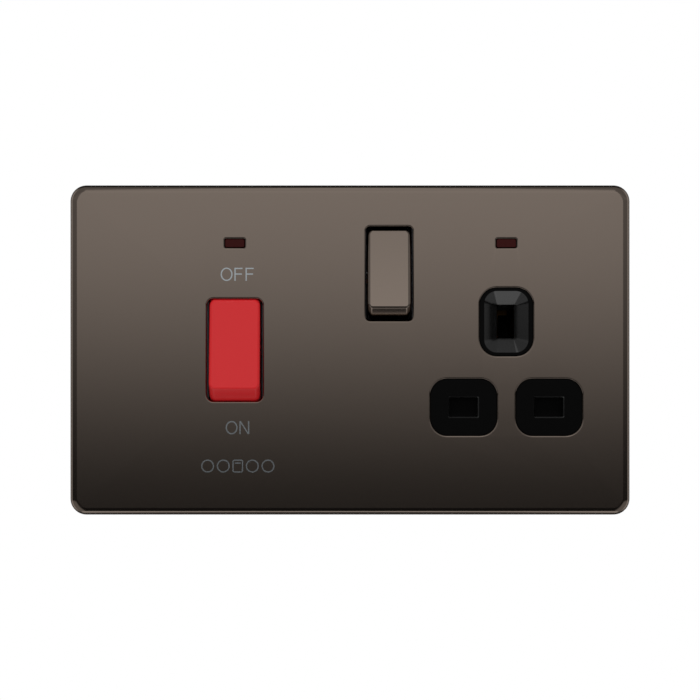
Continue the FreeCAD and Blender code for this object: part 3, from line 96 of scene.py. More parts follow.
def colour_setting(name, description, code):
    """Colour that can be set in the panel."""
    return bpy.props.FloatVectorProperty(
        name=name, description=description, subtype="COLOR", size=3, min=0, max=1, default=linear(code),
    )


def number_setting(name, description, default, unit="NONE"):
    """Number of zero or more that can be set in the panel."""
    return bpy.props.FloatProperty(name=name, description=description, default=default, min=0, unit=unit)


class FinishSettings(bpy.types.PropertyGroup):
    """Colours that show on the front of the unit."""

    nickel: colour_setting("Black nickel", "Colour of the plated front", "#8e8177")
    red: colour_setting("Red moulding", "Colour of the cooker rocker", "#b31b1f")
    black: colour_setting("Black moulding", "Colour of the wells and gaps", "#050505")
    ink: colour_setting("Legend ink", "Colour of the printed legends", "#c6ced3")


class DetailSettings(bpy.types.PropertyGroup):
    """Sizes of the fine detail that the plate and the fasteners carry."""

    rim_roll: number_setting("Rim roll", "Radius of the rims of the plate's openings", 0.4 * MM, "LENGTH")
    legend_height: number_setting("Legend height", "Height of the printed letters", 3.38 * MM, "LENGTH")
    thread_pitch: number_setting("Thread pitch", "Pitch of the mounting screws", 0.6 * MM, "LENGTH")


class StudioSettings(bpy.types.PropertyGroup):
    """Camera and light."""

    lens: number_setting("Lens", "Focal length of the camera in millimetres", 100.0)
    distance: number_setting("Distance", "From the camera to the face of the plate", 0.506, "LENGTH")
    key_power: number_setting("Key light", "Power of the soft light above the camera", 5.5, "POWER")
    ambient: number_setting("Room light", "Strength of the even light from the room", 0.82)
    wall_tone: number_setting("Wall tone", "Tone of the wall that the polished front mirrors", 0.635)


# Materials

# Band of the noise over which the gloss goes from its least rough to its roughest.
GRAIN_BAND = (0.3, 0.7)
GRAIN_DETAIL = 4.0
# Nodes whose brass is darkened to brown, as painted shade of the slots they sit in.
SLOT_SHADED_NODES = ("earth_receptacle", "live_receptacle", "neutral_receptacle")


def add_node(tree, kind, settings=None, links=None):
    """Add a node, give it its settings and link the sockets that feed it."""
    node = tree.nodes.new("ShaderNode" + kind)
    for name, value in (settings or {}).items():
        if isinstance(name, str) and hasattr(node, name):
            setattr(node, name, value)
        else:
            node.inputs[name].default_value = value
    for name, socket in (links or {}).items():
        tree.links.new(socket, node.inputs[name])
    return node


def per_metre(size_mm):
    """Scale of a pattern whose repeat has this size."""
    return 1 / (size_mm * MM)


def surface(name, light, dark, grain_mm, rough, relief_mm, metallic=0.0, stretch=(1, 1, 1), specular=0.5):
    """Material whose colour, gloss and relief follow one grain of a real size."""
    # A tone is an sRGB hex value or a linear colour.
    light, dark = (linear(tone) if isinstance(tone, str) else tone for tone in (light, dark))
    material = bpy.data.materials.new(name)
    material.use_nodes = True
    tree = material.node_tree
    shader = tree.nodes["Principled BSDF"]
    shader.inputs["Metallic"].default_value = metallic
    shader.inputs["Specular IOR Level"].default_value = specular
    place = add_node(tree, "TexCoord").outputs["Object"]
    drawn = add_node(tree, "Mapping", {"Scale": stretch}, {"Vector": place}).outputs["Vector"]
    grain = add_node(
        tree, "TexNoise", {"Scale": per_metre(grain_mm), "Detail": GRAIN_DETAIL}, {"Vector": drawn},
    ).outputs["Fac"]
    mix = add_node(tree, "Mix", {"data_type": "RGBA", 6: (*dark, 1), 7: (*light, 1)}, {0: grain})
    gloss = add_node(
        tree, "MapRange",
        {"From Min": GRAIN_BAND[0], "From Max": GRAIN_BAND[1], "To Min": rough[0], "To Max": rough[1]},
        {"Value": grain},
    )
    tree.links.new(mix.outputs[2], shader.inputs["Base Color"])
    tree.links.new(gloss.outputs["Result"], shader.inputs["Roughness"])
    if relief_mm:
        relief = add_node(tree, "Bump", {"Strength": 1.0, "Distance": relief_mm * MM}, {"Height": grain})
        tree.links.new(relief.outputs["Normal"], shader.inputs["Normal"])
    return material


def shade(colour, share):
    """The colour, darkened to a share of itself."""
    return tuple(part * share for part in colour)


def black_nickel():
    """Polished steel under black nickel plate: a warm grey mirror, even but for its fine polishing grain."""
    colour = tuple(bpy.context.scene.unit_finish.nickel)
    return surface(
        "polished_black_nickel", colour, shade(colour, 0.985), 0.4, (0.115, 0.125), 0.0, metallic=1.0,
    )


def black_moulding():
    """Urea moulding whose flat faces come from an etched tool: deep black with hardly any gloss."""
    colour = tuple(bpy.context.scene.unit_finish.black)
    return surface("etched_black_urea", colour, shade(colour, 0.7), 0.5, (0.3, 0.4), 0.0008, specular=0.07)


def black_slopes():
    """The same urea where the tool is polished, on slopes and bevels: black that catches the light."""
    colour = tuple(bpy.context.scene.unit_finish.black)
    return surface("polished_black_urea", colour, shade(colour, 0.7), 0.5, (0.12, 0.17), 0.0, specular=1.0)


def red_moulding():
    """Polycarbonate moulding with a satin face: even red with a fine moulded texture."""
    colour = tuple(bpy.context.scene.unit_finish.red)
    return surface(
        "satin_red_polycarbonate", colour, shade(colour, 0.97), 0.35, (0.2, 0.26), 0.0006, specular=0.36,
    )


def grey_moulding():
    """Glass-filled nylon: dark and dry, with the fibres just showing."""
    return surface("dark_filled_nylon", "#3b3c3e", "#2c2d2f", 0.8, (0.5, 0.68), 0.012, stretch=(1, 1, 2.5))


def rear_moulding():
    """Urea moulding from a spark-eroded tool: matt dark grey with an even fine grit."""
    return surface("matt_grey_urea", "#54565a", "#45474b", 0.4, (0.45, 0.6), 0.008)


def white_nylon():
    """Natural nylon turned and moulded parts: milky and waxy."""
    return surface("natural_nylon", "#ece9dd", "#dcd8ca", 0.9, (0.3, 0.42), 0.003)


def zinc_steel():
    """Steel with bright zinc plate: pale, slightly blue, with fine turning marks."""
    return surface("bright_zinc_plate", "#c9cdd0", "#a9adb1", 0.25, (0.2, 0.34), 0.002, metallic=1.0)


def spring_steel():
    """Drawn spring wire: grey, with draw marks along it."""
    return surface("drawn_spring_wire", "#b4b3ae", "#8d8c88", 0.2, (0.25, 0.38), 0.002, metallic=1.0)


def copper():
    """Rolled copper strip, a little oxidised: pink brown with rolling marks along the strip."""
    return surface(
        "rolled_copper", "#d99873", "#b06f4d", 1.2, (0.24, 0.42), 0.003, metallic=1.0, stretch=(0.25, 1, 1),
    )


def bronze():
    """Phosphor bronze strip: brown gold, rolled and spring hard."""
    return surface("phosphor_bronze", "#c99a63", "#a57b4c", 0.8, (0.24, 0.36), 0.002, metallic=1.0)


def brass():
    """Free-cutting brass, sawn and drilled: bright yellow with tool marks."""
    return surface(
        "machined_brass", "#e0bd6f", "#bf9a4e", 0.5, (0.18, 0.32), 0.003, metallic=1.0, stretch=(1, 1, 0.3),
    )


def slot_shaded_brass():
    """Spring brass darkened to brown, as painted shade of the deep slots it sits in: it hardly shines in the
    slots.
    """
    return surface("shade_darkened_spring_brass", "#7a5a2c", "#4f3a1e", 0.7, (0.4, 0.55), 0.003, metallic=1.0)


def silver():
    """Silver contact faces, struck and slightly matt."""
    return surface("struck_silver", "#efeeea", "#d5d4cf", 0.3, (0.22, 0.34), 0.003, metallic=1.0)


def let_through(material, transmission, ior):
    """The material, letting a share of the light through."""
    shader = material.node_tree.nodes["Principled BSDF"]
    shader.inputs["Transmission Weight"].default_value = transmission
    shader.inputs["IOR"].default_value = ior
    return material


def red_lens():
    """Deep red polycarbonate, nearly black because the lamp behind it is out."""
    material = surface(
        "dark_red_polycarbonate", "#2e0b0a", "#290a09", 0.6, (0.06, 0.12), 0.0006, specular=0.05,
    )
    return let_through(material, 0.05, 1.58)


def lamp_glass():
    """Soft clear glass, drawn and fire-sealed, with faint ripples."""
    material = surface("clear_lamp_glass", "#f4f2ec", "#e8e4da", 2.0, (0.02, 0.05), 0.004)
    return let_through(material, 0.95, 1.5)


def resistor_lacquer():
    """Baked lacquer on a small resistor: beige, with an orange-peel gloss."""
    return surface("beige_lacquer", "#d9c19a", "#c9ae84", 0.5, (0.22, 0.3), 0.006)


def legend_ink():
    """Pad-printed metallic grey ink: thin and glossy, so that it mirrors the room as the plate does."""
    colour = tuple(bpy.context.scene.unit_finish.ink)
    return surface("printed_grey_ink", colour, shade(colour, 0.95), 0.3, (0.14, 0.17), 0.0, metallic=0.97)


def band_paint(name, code):
    """Painted band on the resistor: even and half glossy."""
    return surface(name, code, shade(linear(code), 0.85), 0.4, (0.3, 0.4), 0.002)


def pale_paper():
    """Matt paper for the floor, nearly white."""
    return surface("pale_paper", "#f4f4f2", "#f0f0ee", 4.0, (0.8, 0.9), 0.02)


# Each finish is named for its slot in the record, or for what it is where it differs from its slot.
FINISHES = {
    finish.__name__: finish for finish in (
        black_nickel, black_moulding, black_slopes, red_moulding, grey_moulding, rear_moulding,
        white_nylon, zinc_steel, spring_steel, copper, bronze, brass, slot_shaded_brass, silver,
        red_lens, lamp_glass, resistor_lacquer,
    )
}


@functools.cache
def finish_of(slot):
    """The material of a slot or finish, made when it is first asked for."""
    return FINISHES[slot]()


# Mesh building

def loop_points(x, z, width, height, corner, y):
    """Points of a rounded rectangle at one Y level."""
    points = []
    for quarter, (side, up) in enumerate(((1, 1), (-1, 1), (-1, -1), (1, -1))):
        centre = Vector((x + side * (width / 2 - corner), y, z + up * (height / 2 - corner)))
        for step in range(CORNER_STEPS + 1):
            turn = (quarter + step / CORNER_STEPS) * math.pi / 2
            points.append(centre + corner * Vector((math.cos(turn), 0, math.sin(turn))))
    return points


def add_ring(bm, points):
    """Closed ring of vertices with its edges."""
    verts = [bm.verts.new(point) for point in points]
    for i, vert in enumerate(verts):
        bm.edges.new((vert, verts[(i + 1) % len(verts)]))
    return verts


def ring_edges(bm, ring):
    """Edges of a closed ring of vertices."""
    return [bm.edges.get((vert, ring[(i + 1) % len(ring)])) for i, vert in enumerate(ring)]


def skin(bm, rings):
    """Join each ring to the next with four-sided faces."""
    for near, far in zip(rings, rings[1:]):
        count = len(near)
        for i in range(count):
            j = (i + 1) % count
            bm.faces.new((near[i], near[j], far[j], far[i]))


def closed_skin(bm, rings):
    """Join rings into a solid with a face at each end."""
    skin(bm, rings)
    bm.faces.new(rings[0])
    bm.faces.new(rings[-1])


def circle(steps):
    """Cosine and sine of equal steps round a circle."""
    turns = [2 * math.pi * step / steps for step in range(steps)]
    return [(math.cos(turn), math.sin(turn)) for turn in turns]


def fill(bm, rings):
    """Flat face between an outer ring and the rings of its holes."""
    edges = [edge for ring in rings for edge in ring_edges(bm, ring)]
    bmesh.ops.triangle_fill(bm, use_beauty=True, use_dissolve=False, edges=edges)


def smooth(bm):
    """Smooth faces that meet in a crisp line where they turn sharply."""
    for face in bm.faces:
        face.smooth = True
    for edge in bm.edges:
        edge.smooth = len(edge.link_faces) == 2 and edge.calc_face_angle(0) < SHARP_ANGLE


def mesh_object(name, bm):
    """Object in the scene that takes a built mesh."""
    mesh = bpy.data.meshes.new(name)
    bm.to_mesh(mesh)
    bm.free()
    obj = bpy.data.objects.new(name, mesh)
    bpy.context.scene.collection.objects.link(obj)
    return obj


def piece(name, bm, node, slot=None, material=None):
    """Piece that rides with a node and has the finish of the node's slot, or a given one."""
    bmesh.ops.recalc_face_normals(bm, faces=bm.faces)
    smooth(bm)
    obj = mesh_object(name, bm)
    slot = slot or SLOT_OF[node]
    obj.data.materials.append(material or finish_of(slot))
    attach(obj, BODY_OF[node])
    return obj


def settle_normals(obj):
    """Let the large flat faces rule the shading of the small ones beside them."""
    modifier = obj.modifiers.new("normals", "WEIGHTED_NORMAL")
    modifier.keep_sharp = True


def break_edges(obj, width):
    """Small rounded edge, as tools and moulds leave it."""
    modifier = obj.modifiers.new("edges", "BEVEL")
    modifier.width = width
    modifier.segments = BEVEL_SEGMENTS
    modifier.limit_method = "ANGLE"
    modifier.angle_limit = SHARP_ANGLE


def dress(node, edge):
    """Piece with a CAD node's form, with its edges broken and its curves shaded smooth."""
    bm = bmesh.new()
    bm.from_mesh(frame["nodes"][node].data)
    bmesh.ops.remove_doubles(bm, verts=bm.verts, dist=WELD)
    bmesh.ops.dissolve_limit(bm, angle_limit=FLAT_ANGLE, verts=bm.verts, edges=bm.edges)
    slot = SLOT_OF[node]
    # The receptacles take brass darkened to brown as painted shade of their slots.
    finish = "slot_shaded_brass" if node in SLOT_SHADED_NODES else slot
    obj = piece(node + "_finished", bm, node, material=finish_of(finish))
    if slot == "black_moulding":
        obj.data.materials.append(finish_of("black_slopes"))
        for face in obj.data.polygons:
            face.material_index = int(abs(face.normal.y) < FLAT_FACING)
    if edge:
        break_edges(obj, edge)
    settle_normals(obj)
    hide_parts(node)


def dress_slots(edges):
    """Dress every node of these slots, with the broken edge that its slot has."""
    for node, slot in SLOT_OF.items():
        if slot in edges:
            dress(node, 0.0 if node in ROUNDED_NODES else edges[slot])


def cut_away(obj, cutters):
    """Take the cutters' forms out of a piece for good."""
    for cutter in cutters:
        modifier = obj.modifiers.new("cut", "BOOLEAN")
        modifier.object = cutter
        modifier.solver = "EXACT"
    graph = bpy.context.evaluated_depsgraph_get()
    mesh = bpy.data.meshes.new_from_object(obj.evaluated_get(graph))
    obj.modifiers.clear()
    obj.data = mesh
    for cutter in cutters:
        bpy.data.objects.remove(cutter)


def block(low, high):
    """Plain box between two corners, used to cut with."""
    bm = bmesh.new()
    place = Matrix.Translation((low + high) / 2) @ Matrix.Diagonal((*(high - low), 1))
    bmesh.ops.create_cube(bm, size=1, matrix=place)
    return mesh_object("cutter", bm)


def rest_tilt(joint):
    """How far a rocker leans from square at rest, which is half its throw."""
    first, last = joint["range_deg"]
    return math.radians(last - first) / 2


def along(direction):
    """Turn that takes local Z to a direction."""
    return Vector(direction).to_track_quat("Z", "Y").to_matrix().to_4x4()


def turned(bm, profile, place, steps=TURN_STEPS):
    """Revolve points of radius and height about local Z and close the ends."""
    rings = []
    for radius, height in profile:
        ring = [place @ Vector((radius * x, radius * y, height)) for x, y in circle(steps)]
        rings.append(add_ring(bm, ring))
    closed_skin(bm, rings)


THREAD_STEPS = 32
# The ridge runs out over one part in this many at each end.
THREAD_RUNOUT = 6
# Foot of the ridge as a share of the root's radius, and half widths of its foot and its crest in pitches.
THREAD_SUNK = 0.97
THREAD_FOOT = 0.42
THREAD_CREST = 0.06


def thread(bm, place, root, crest, pitch, low, high):
    """Helical ridge of a screw thread about local Z."""
    turns = (high - low) / pitch
    count = int(turns * THREAD_STEPS)
    foot = root * THREAD_SUNK
    rings = []
    for i in range(count + 1):
        share = i / count
        turn = 2 * math.pi * turns * share
        height = low + (high - low) * share
        taper = min(1.0, THREAD_RUNOUT * share, THREAD_RUNOUT * (1 - share))
        top = root + (crest - root) * taper
        out = Vector((math.cos(turn), math.sin(turn), 0))
        section = ((foot, -THREAD_FOOT), (top, -THREAD_CREST), (top, THREAD_CREST), (foot, THREAD_FOOT))
        ring = [place @ (reach * out + Vector((0, 0, height + rise * pitch))) for reach, rise in section]
        rings.append(add_ring(bm, ring))
    closed_skin(bm, rings)


# Front plate

def opening_about(node, width, height, corner):
    """Opening that is centred on a CAD node's box in X and Z."""
    low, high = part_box(node)
    return ((low.x + high.x) / 2, (low.z + high.z) / 2, width, height, corner)


# Width, height and corner radius of the plate's openings.
EARTH_APERTURE = (14.0 * MM, 17.8 * MM, 4.6 * MM)
LINE_APERTURE = (17.35 * MM, 14.8 * MM, 4.45 * MM)
COOKER_APERTURE = (14.6 * MM, 26.8 * MM, 1.8 * MM)
SOCKET_APERTURE = (12.26 * MM, 24.6 * MM, 1.2 * MM)
NEON_APERTURE = (5.3 * MM, 2.4 * MM, 0.4 * MM)
PLATE_CORNER = 4.2 * MM
PLATE_ROUND = 2.0 * MM
PLATE_THICK = 0.8 * MM
# How much wider the rockers' openings are behind their rims.
RIM_RELIEF = 0.35 * MM
LATCH_WIDTH = 8.6 * MM
LATCH_LEVELS = (-3.2 * MM, -1.4 * MM)
LATCH_X = 40.0 * MM


def plate_openings():
    """Every opening, as X, Z, width, height and corner, with how far it widens towards the back."""
    openings = []
    for slot in RECORD["physics"]["openings"]:
        low, high = (Vector(corner) for corner in slot["box_m"])
        aperture = EARTH_APERTURE if slot["name"].startswith("earth") else LINE_APERTURE
        openings.append((((low.x + high.x) / 2, (low.z + high.z) / 2, *aperture), 0.0))
    rockers = {"cooker_switch_rock": COOKER_APERTURE, "socket_switch_rock": SOCKET_APERTURE}
    for joint, aperture in rockers.items():
        pivot = JOINTS[joint]["pos_m"]
        openings.append(((pivot[0], pivot[2], *aperture), RIM_RELIEF))
    for node in ("cooker_neon_lens", "socket_neon_lens"):
        openings.append((opening_about(node, *NEON_APERTURE), 0.0))
    return openings


def ring_about(bm, opening, by, y):
    """Ring of vertices round an opening that is widened on all sides, at one Y level."""
    x, z, width, height, corner = opening
    return add_ring(bm, loop_points(x, z, width + 2 * by, height + 2 * by, corner + by, y))


def build_plate():
    """Pressed pan with a rolled outer edge, rolled rims and latch windows."""
    low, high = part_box("front_plate")
    front, rim = low.y, high.y
    back = front + PLATE_THICK
    inner_round = PLATE_ROUND - PLATE_THICK
    roll = bpy.context.scene.unit_detail.rim_roll
    face = (0, 0, high.x - low.x, high.z - low.z, PLATE_CORNER)
    bm = bmesh.new()
    rings = []
    for inset, sunk in QUARTER_ROUND:
        rings.append(ring_about(bm, face, -PLATE_ROUND * inset, front + PLATE_ROUND * sunk))
    rings.append(ring_about(bm, face, 0.0, rim))
    rings.append(ring_about(bm, face, -PLATE_THICK, rim))
    for inset, sunk in reversed(QUARTER_ROUND):
        rings.append(ring_about(bm, face, -PLATE_THICK - inner_round * inset, back + inner_round * sunk))
    skin(bm, rings)
    fronts = [rings[0]]
    backs = [rings[-1]]
    for opening, relief in plate_openings():
        hole = [ring_about(bm, opening, roll * inset, front + roll * sunk) for inset, sunk in QUARTER_ROUND]
        if relief:
            hole.append(ring_about(bm, opening, 0.0, back - relief))
        hole.append(ring_about(bm, opening, relief, back))
        skin(bm, hole)
        fronts.append(hole[0])
        backs.append(hole[-1])
    fill(bm, fronts)
    fill(bm, backs)
    plate = piece("front_plate_shell", bm, "front_plate")
    cutters = []
    half = LATCH_WIDTH / 2
    for side in (-1, 1):
        edge = side * high.z
        bottom, top = sorted((edge - side * 2 * PLATE_THICK, edge + side * PLATE_THICK))
        for x in (-LATCH_X, LATCH_X):
            near = Vector((x - half, LATCH_LEVELS[0], bottom))
            far = Vector((x + half, LATCH_LEVELS[1], top))
            cutters.append(block(near, far))
    cut_away(plate, cutters)
    settle_normals(plate)
    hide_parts("front_plate")


# Socket rocker's cap, drawn square to its own face about the rocker's pivot.

CAP_HALF_WIDTH = 5.6 * MM
CAP_FACE = 8.7 * MM
CAP_DEPTH = 4.4 * MM
CAP_END_RADIUS = 13.296 * MM
CAP_ROUND = 0.8 * MM
CAP_CORNER = 1.3 * MM
CAP_WALL = 0.5 * MM
TIGHT_CORNER = 0.1 * MM
SKIRT_STEPS = 6


def cap_ring(bm, place, half, end, corner, side_level, end_level):
    """Ring of the cap, whose level changes smoothly round each corner from its sides to its ends."""
    verts = []
    for point in loop_points(0, 0, 2 * half, 2 * end, corner, 0):
        across = max(0.0, abs(point.x) - (half - corner)) / corner
        level = end_level + (side_level - end_level) * across * across
        verts.append(place @ Vector((point.x, -level, point.z)))
    return add_ring(bm, verts)


def cap_shell(bm, place, inset):
    """Rings from the middle of the face to the open edge, for the outside or the inside of the cap."""
    half, face, radius = CAP_HALF_WIDTH - inset, CAP_FACE - inset, CAP_END_RADIUS - inset
    bend = CAP_ROUND - inset / 2
    corner = CAP_CORNER - inset
    centre = face - bend
    end_centre = math.sqrt((radius - bend) ** 2 - centre ** 2)
    end_turn = math.atan2(end_centre, centre)
    first_corner = max(corner - bend, TIGHT_CORNER)
    corner_gain = min(bend, corner - TIGHT_CORNER)
    rings = []
    for step, side_turn in enumerate(QUARTER_TURNS):
        turn = step / EDGE_STEPS * end_turn
        out = math.sin(side_turn)
        rings.append(cap_ring(
            bm, place, half - bend + bend * out, end_centre + bend * math.sin(turn),
            first_corner + corner_gain * out,
            centre + bend * math.cos(side_turn), centre + bend * math.cos(turn),
        ))
    start = centre + bend * math.cos(end_turn)
    back = CAP_FACE - CAP_DEPTH
    for step in range(1, SKIRT_STEPS + 1):
        share = step / SKIRT_STEPS
        end_level = start + (back - start) * share
        end = math.sqrt(radius ** 2 - end_level ** 2)
        rings.append(cap_ring(bm, place, half, end, corner, centre + (back - centre) * share, end_level))
    return rings


def build_cap():
    """Pressed cap with a rolled edge round its face and skirts that follow the rocker's swing."""
    node = "socket_rocker_cap"
    joint = JOINTS["socket_switch_rock"]
    place = Matrix.Translation(joint["pos_m"]) @ Matrix.Rotation(-rest_tilt(joint), 4, "X")
    bm = bmesh.new()
    outside = cap_shell(bm, place, 0.0)
    inside = cap_shell(bm, place, CAP_WALL)
    skin(bm, outside + inside[::-1])
    bm.faces.new(outside[0])
    bm.faces.new(inside[0])
    obj = piece(node + "_pressed", bm, node)
    settle_normals(obj)
    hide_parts(node)


# Legends

LEGEND_LINE = 0.32 * MM
OFF_PLACE = (-29.37 * MM, 19.7 * MM)
ON_PLACE = (-29.29 * MM, -20.2 * MM)
SIGN_PLACE = (-29.2 * MM, -30.2 * MM)
SIGN_WIDTH = 19.1 * MM
SIGN_GAP = 0.7 * MM
DOOR_CORNER = 0.5 * MM
# Half the length of the oven's handle in door widths, and its level in door heights.
HANDLE_REACH = 0.28
HANDLE_LEVEL = 0.18
# Widths of the letters and the gaps after them, as shares of their height.
LETTER_WIDTHS = {"O": 0.914, "F": 0.62, "N": 0.755}
LETTER_GAPS = {"O": 0.145, "F": 0.237}
ROUND_OVERSHOOT = 1.03
# Middle bar of the F: how far it sits above the middle, and its length, as shares of the letter.
BAR_RISE = 0.02
BAR_REACH = 0.93
# Slope of the N where it meets a stem: its width and its height in line widths.
SLOPE_WIDTH = 1.2
SLOPE_HEIGHT = 1.5


def line_section(y):
    """Inset and level of the rings across a printed line, from its outer foot to its inner foot."""
    return (0.0, y), (0.0, y - PROUD), (LEGEND_LINE, y - PROUD), (LEGEND_LINE, y)


def flat_ring(bm, x, z, half_width, half_height, y):
    """Printed ring, round or oval."""
    rings = []
    for inset, level in line_section(y):
        width, height = half_width - inset, half_height - inset
        rings.append(add_ring(bm, [
            Vector((x + width * across, level, z + height * up)) for across, up in circle(TURN_STEPS)
        ]))
    skin(bm, rings + rings[:1])


def flat_frame(bm, x, z, width, height, corner, y):
    """Printed outline of a rounded rectangle."""
    outline = (x, z, width, height, corner)
    rings = [ring_about(bm, outline, -inset, level) for inset, level in line_section(y)]
    skin(bm, rings + rings[:1])


def flat_shape(bm, corners, y):
    """Printed shape with straight sides."""
    closed_skin(bm, [add_ring(bm, [Vector((x, level, z)) for x, z in corners]) for level in (y, y - PROUD)])


def letter_f(x, z, width, height):
    """Outline of an F."""
    line = LEGEND_LINE
    low, high = z - height / 2, z + height / 2
    arm = z + height * BAR_RISE
    short = x + width * BAR_REACH
    return (
        (x, low), (x + line, low), (x + line, arm - line / 2), (short, arm - line / 2),
        (short, arm + line / 2), (x + line, arm + line / 2), (x + line, high - line),
        (x + width, high - line), (x + width, high), (x, high),
    )


def letter_n(x, z, width, height):
    """Outline of an N, whose slope is as thick as its stems."""
    line = LEGEND_LINE
    low, high = z - height / 2, z + height / 2
    right = x + width
    side, drop = SLOPE_WIDTH * line, SLOPE_HEIGHT * line
    return (
        (x, low), (x + line, low), (x + line, high - drop), (right - side, low), (right, low),
        (right, high), (right - line, high), (right - line, low + drop), (x + side, high), (x, high),
    )


LETTER_OUTLINES = {"F": letter_f, "N": letter_n}


def word(text, place, height, y):
    """Printed word whose middle is at a place on the plate."""
    x, z = place
    bm = bmesh.new()
    widths = [LETTER_WIDTHS[letter] * height for letter in text]
    gaps = [LETTER_GAPS[letter] * height for letter in text[:-1]]
    x -= (sum(widths) + sum(gaps)) / 2
    for letter, width, gap in zip(text, widths, (*gaps, 0.0)):
        if letter in LETTER_OUTLINES:
            flat_shape(bm, LETTER_OUTLINES[letter](x, z, width, height), y)
        else:
            flat_ring(bm, x + width / 2, z, width / 2, height / 2 * ROUND_OVERSHOOT, y)
        x += width + gap
    return bm


def cooker_sign(height, y):
    """Generic sign for a cooker: an oven door between two pairs of hob rings."""
    x, z = SIGN_PLACE
    bm = bmesh.new()
    outer = height / 2
    for side in (-1, 1):
        far = x + side * (SIGN_WIDTH / 2 - outer)
        for centre in (far, far - side * (height + SIGN_GAP)):
            flat_ring(bm, centre, z, outer, outer, y)
    door = SIGN_WIDTH - 4 * (height + SIGN_GAP)
    flat_frame(bm, x, z, door, height, DOOR_CORNER, y)
    half = door * HANDLE_REACH
    low = z + height * HANDLE_LEVEL
    high = low + LEGEND_LINE
    flat_shape(bm, ((x - half, low), (x + half, low), (x + half, high), (x - half, high)), y)
    return bm


# Neon indicators

ELECTRODE_RADIUS = 0.3 * MM
ELECTRODE_SPACING = 1.3 * MM
ELECTRODE_END = 1.6 * MM
ELECTRODE_EDGE = 0.1 * MM
ELECTRODE_SIDES = 16
BAND_PAINTS = {
    "brown_band": "#5b3420", "black_band": "#1b1a19", "yellow_band": "#d9b233", "gold_band": "#b08a3e",
}
BAND_WIDTH = 0.45 * MM
# From the first band to the last, in radii of the resistor.
BAND_SPREAD = 2.34


def build_electrodes(node):
    """The two plated rods that lie side by side in a lamp's glass."""
    low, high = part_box(node)
    middle = (low + high) / 2
    half = (high.x - low.x) / 2 - ELECTRODE_END
    bm = bmesh.new()
    profile = (
        (ELECTRODE_RADIUS - ELECTRODE_EDGE, -half), (ELECTRODE_RADIUS, ELECTRODE_EDGE - half),
        (ELECTRODE_RADIUS, half - ELECTRODE_EDGE), (ELECTRODE_RADIUS - ELECTRODE_EDGE, half),
    )
    for side in (-1, 1):
        place = Matrix.Translation(middle + Vector((0, 0, side * ELECTRODE_SPACING / 2))) @ along((1, 0, 0))
        turned(bm, profile, place, ELECTRODE_SIDES)
    piece(node.replace("lamp", "electrodes"), bm, node, slot="zinc_steel")


def build_bands(node, paints):
    """Value bands round a resistor, spread over its body."""
    low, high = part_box(node)
    middle = (low + high) / 2
    radius = (high.z - low.z) / 2
    half = BAND_WIDTH / 2
    profile = ((radius, -half), (radius + PROUD, -half / 2), (radius + PROUD, half / 2), (radius, half))
    for count, (name, paint) in enumerate(paints.items()):
        offset = BAND_SPREAD * radius * (count / (len(paints) - 1) - 0.5)
        place = Matrix.Translation(middle + Vector((offset, 0, 0))) @ along((1, 0, 0))
        bm = bmesh.new()
        turned(bm, profile, place)
        piece(f"{node}_{name}", bm, node, material=paint)


# Springs

WIRE_RADIUS = 0.2 * MM
SPRING_TURNS = 6
COIL_STEPS = 28
WIRE_SIDES = 10
PLUNGER_SPRINGS = {
    "cooker_live_spring": "cooker_switch_rock", "cooker_neutral_spring": "cooker_switch_rock",
    "socket_plunger_spring": "socket_switch_rock",
}


def coil(place, radius, length):
    """Round wire wound about local Z, with a closed turn at each end."""
    bm = bmesh.new()
    rings = []
    closed = 2 * WIRE_RADIUS
    open_rise = (length - 2 * closed - 2 * WIRE_RADIUS) / SPRING_TURNS
    count = (SPRING_TURNS + 2) * COIL_STEPS
    height = WIRE_RADIUS
    for i in range(count + 1):
        turns = i / COIL_STEPS
        out = Vector((math.cos(2 * math.pi * turns), math.sin(2 * math.pi * turns), 0))
        rings.append(add_ring(bm, [
            place @ ((radius + WIRE_RADIUS * across) * out + Vector((0, 0, height + WIRE_RADIUS * up)))
            for across, up in circle(WIRE_SIDES)
        ]))
        rise = open_rise if 1 <= turns < SPRING_TURNS + 1 else closed
        height += rise / COIL_STEPS
    closed_skin(bm, rings)
    return bm


def build_plunger_spring(node):
    """Spring in a rocker's tube, on the line through the rocker's pivot."""
    joint = JOINTS[PLUNGER_SPRINGS[node]]
    low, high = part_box(node)
    tilt = rest_tilt(joint)
    pivot = Vector(joint["pos_m"])
    outer = (high.x - low.x) / 2
    start = (low.y - pivot.y + outer * math.sin(tilt)) / math.cos(tilt)
    end = (high.y - pivot.y - outer * math.sin(tilt)) / math.cos(tilt)
    foot = Vector(((low.x + high.x) / 2, pivot.y, pivot.z))
    turn = Matrix.Rotation(-math.pi / 2 - tilt, 4, "X")
    place = Matrix.Translation(foot) @ turn @ Matrix.Translation((0, 0, start))
    obj = piece(node + "_wound", coil(place, outer - WIRE_RADIUS, end - start), node)
    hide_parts(node)


def build_shutter_spring():
    """Return spring under the shutter, wound at one fixed length, though the real one shortens as the shutter goes
    down.
    """
    node = "shutter_spring"
    low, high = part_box(node)
    foot = Vector(((low.x + high.x) / 2, (low.y + high.y) / 2, low.z))
    length = high.z - low.z
    bm = coil(Matrix.Translation(foot), (high.x - low.x) / 2 - WIRE_RADIUS, length)
    obj = piece(node + "_wound", bm, node)
    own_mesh(obj)
    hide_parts(node)


# Screws: each is drawn from its tip to its head about local Z, with the tip at the bottom.

DOME_STEPS = 8
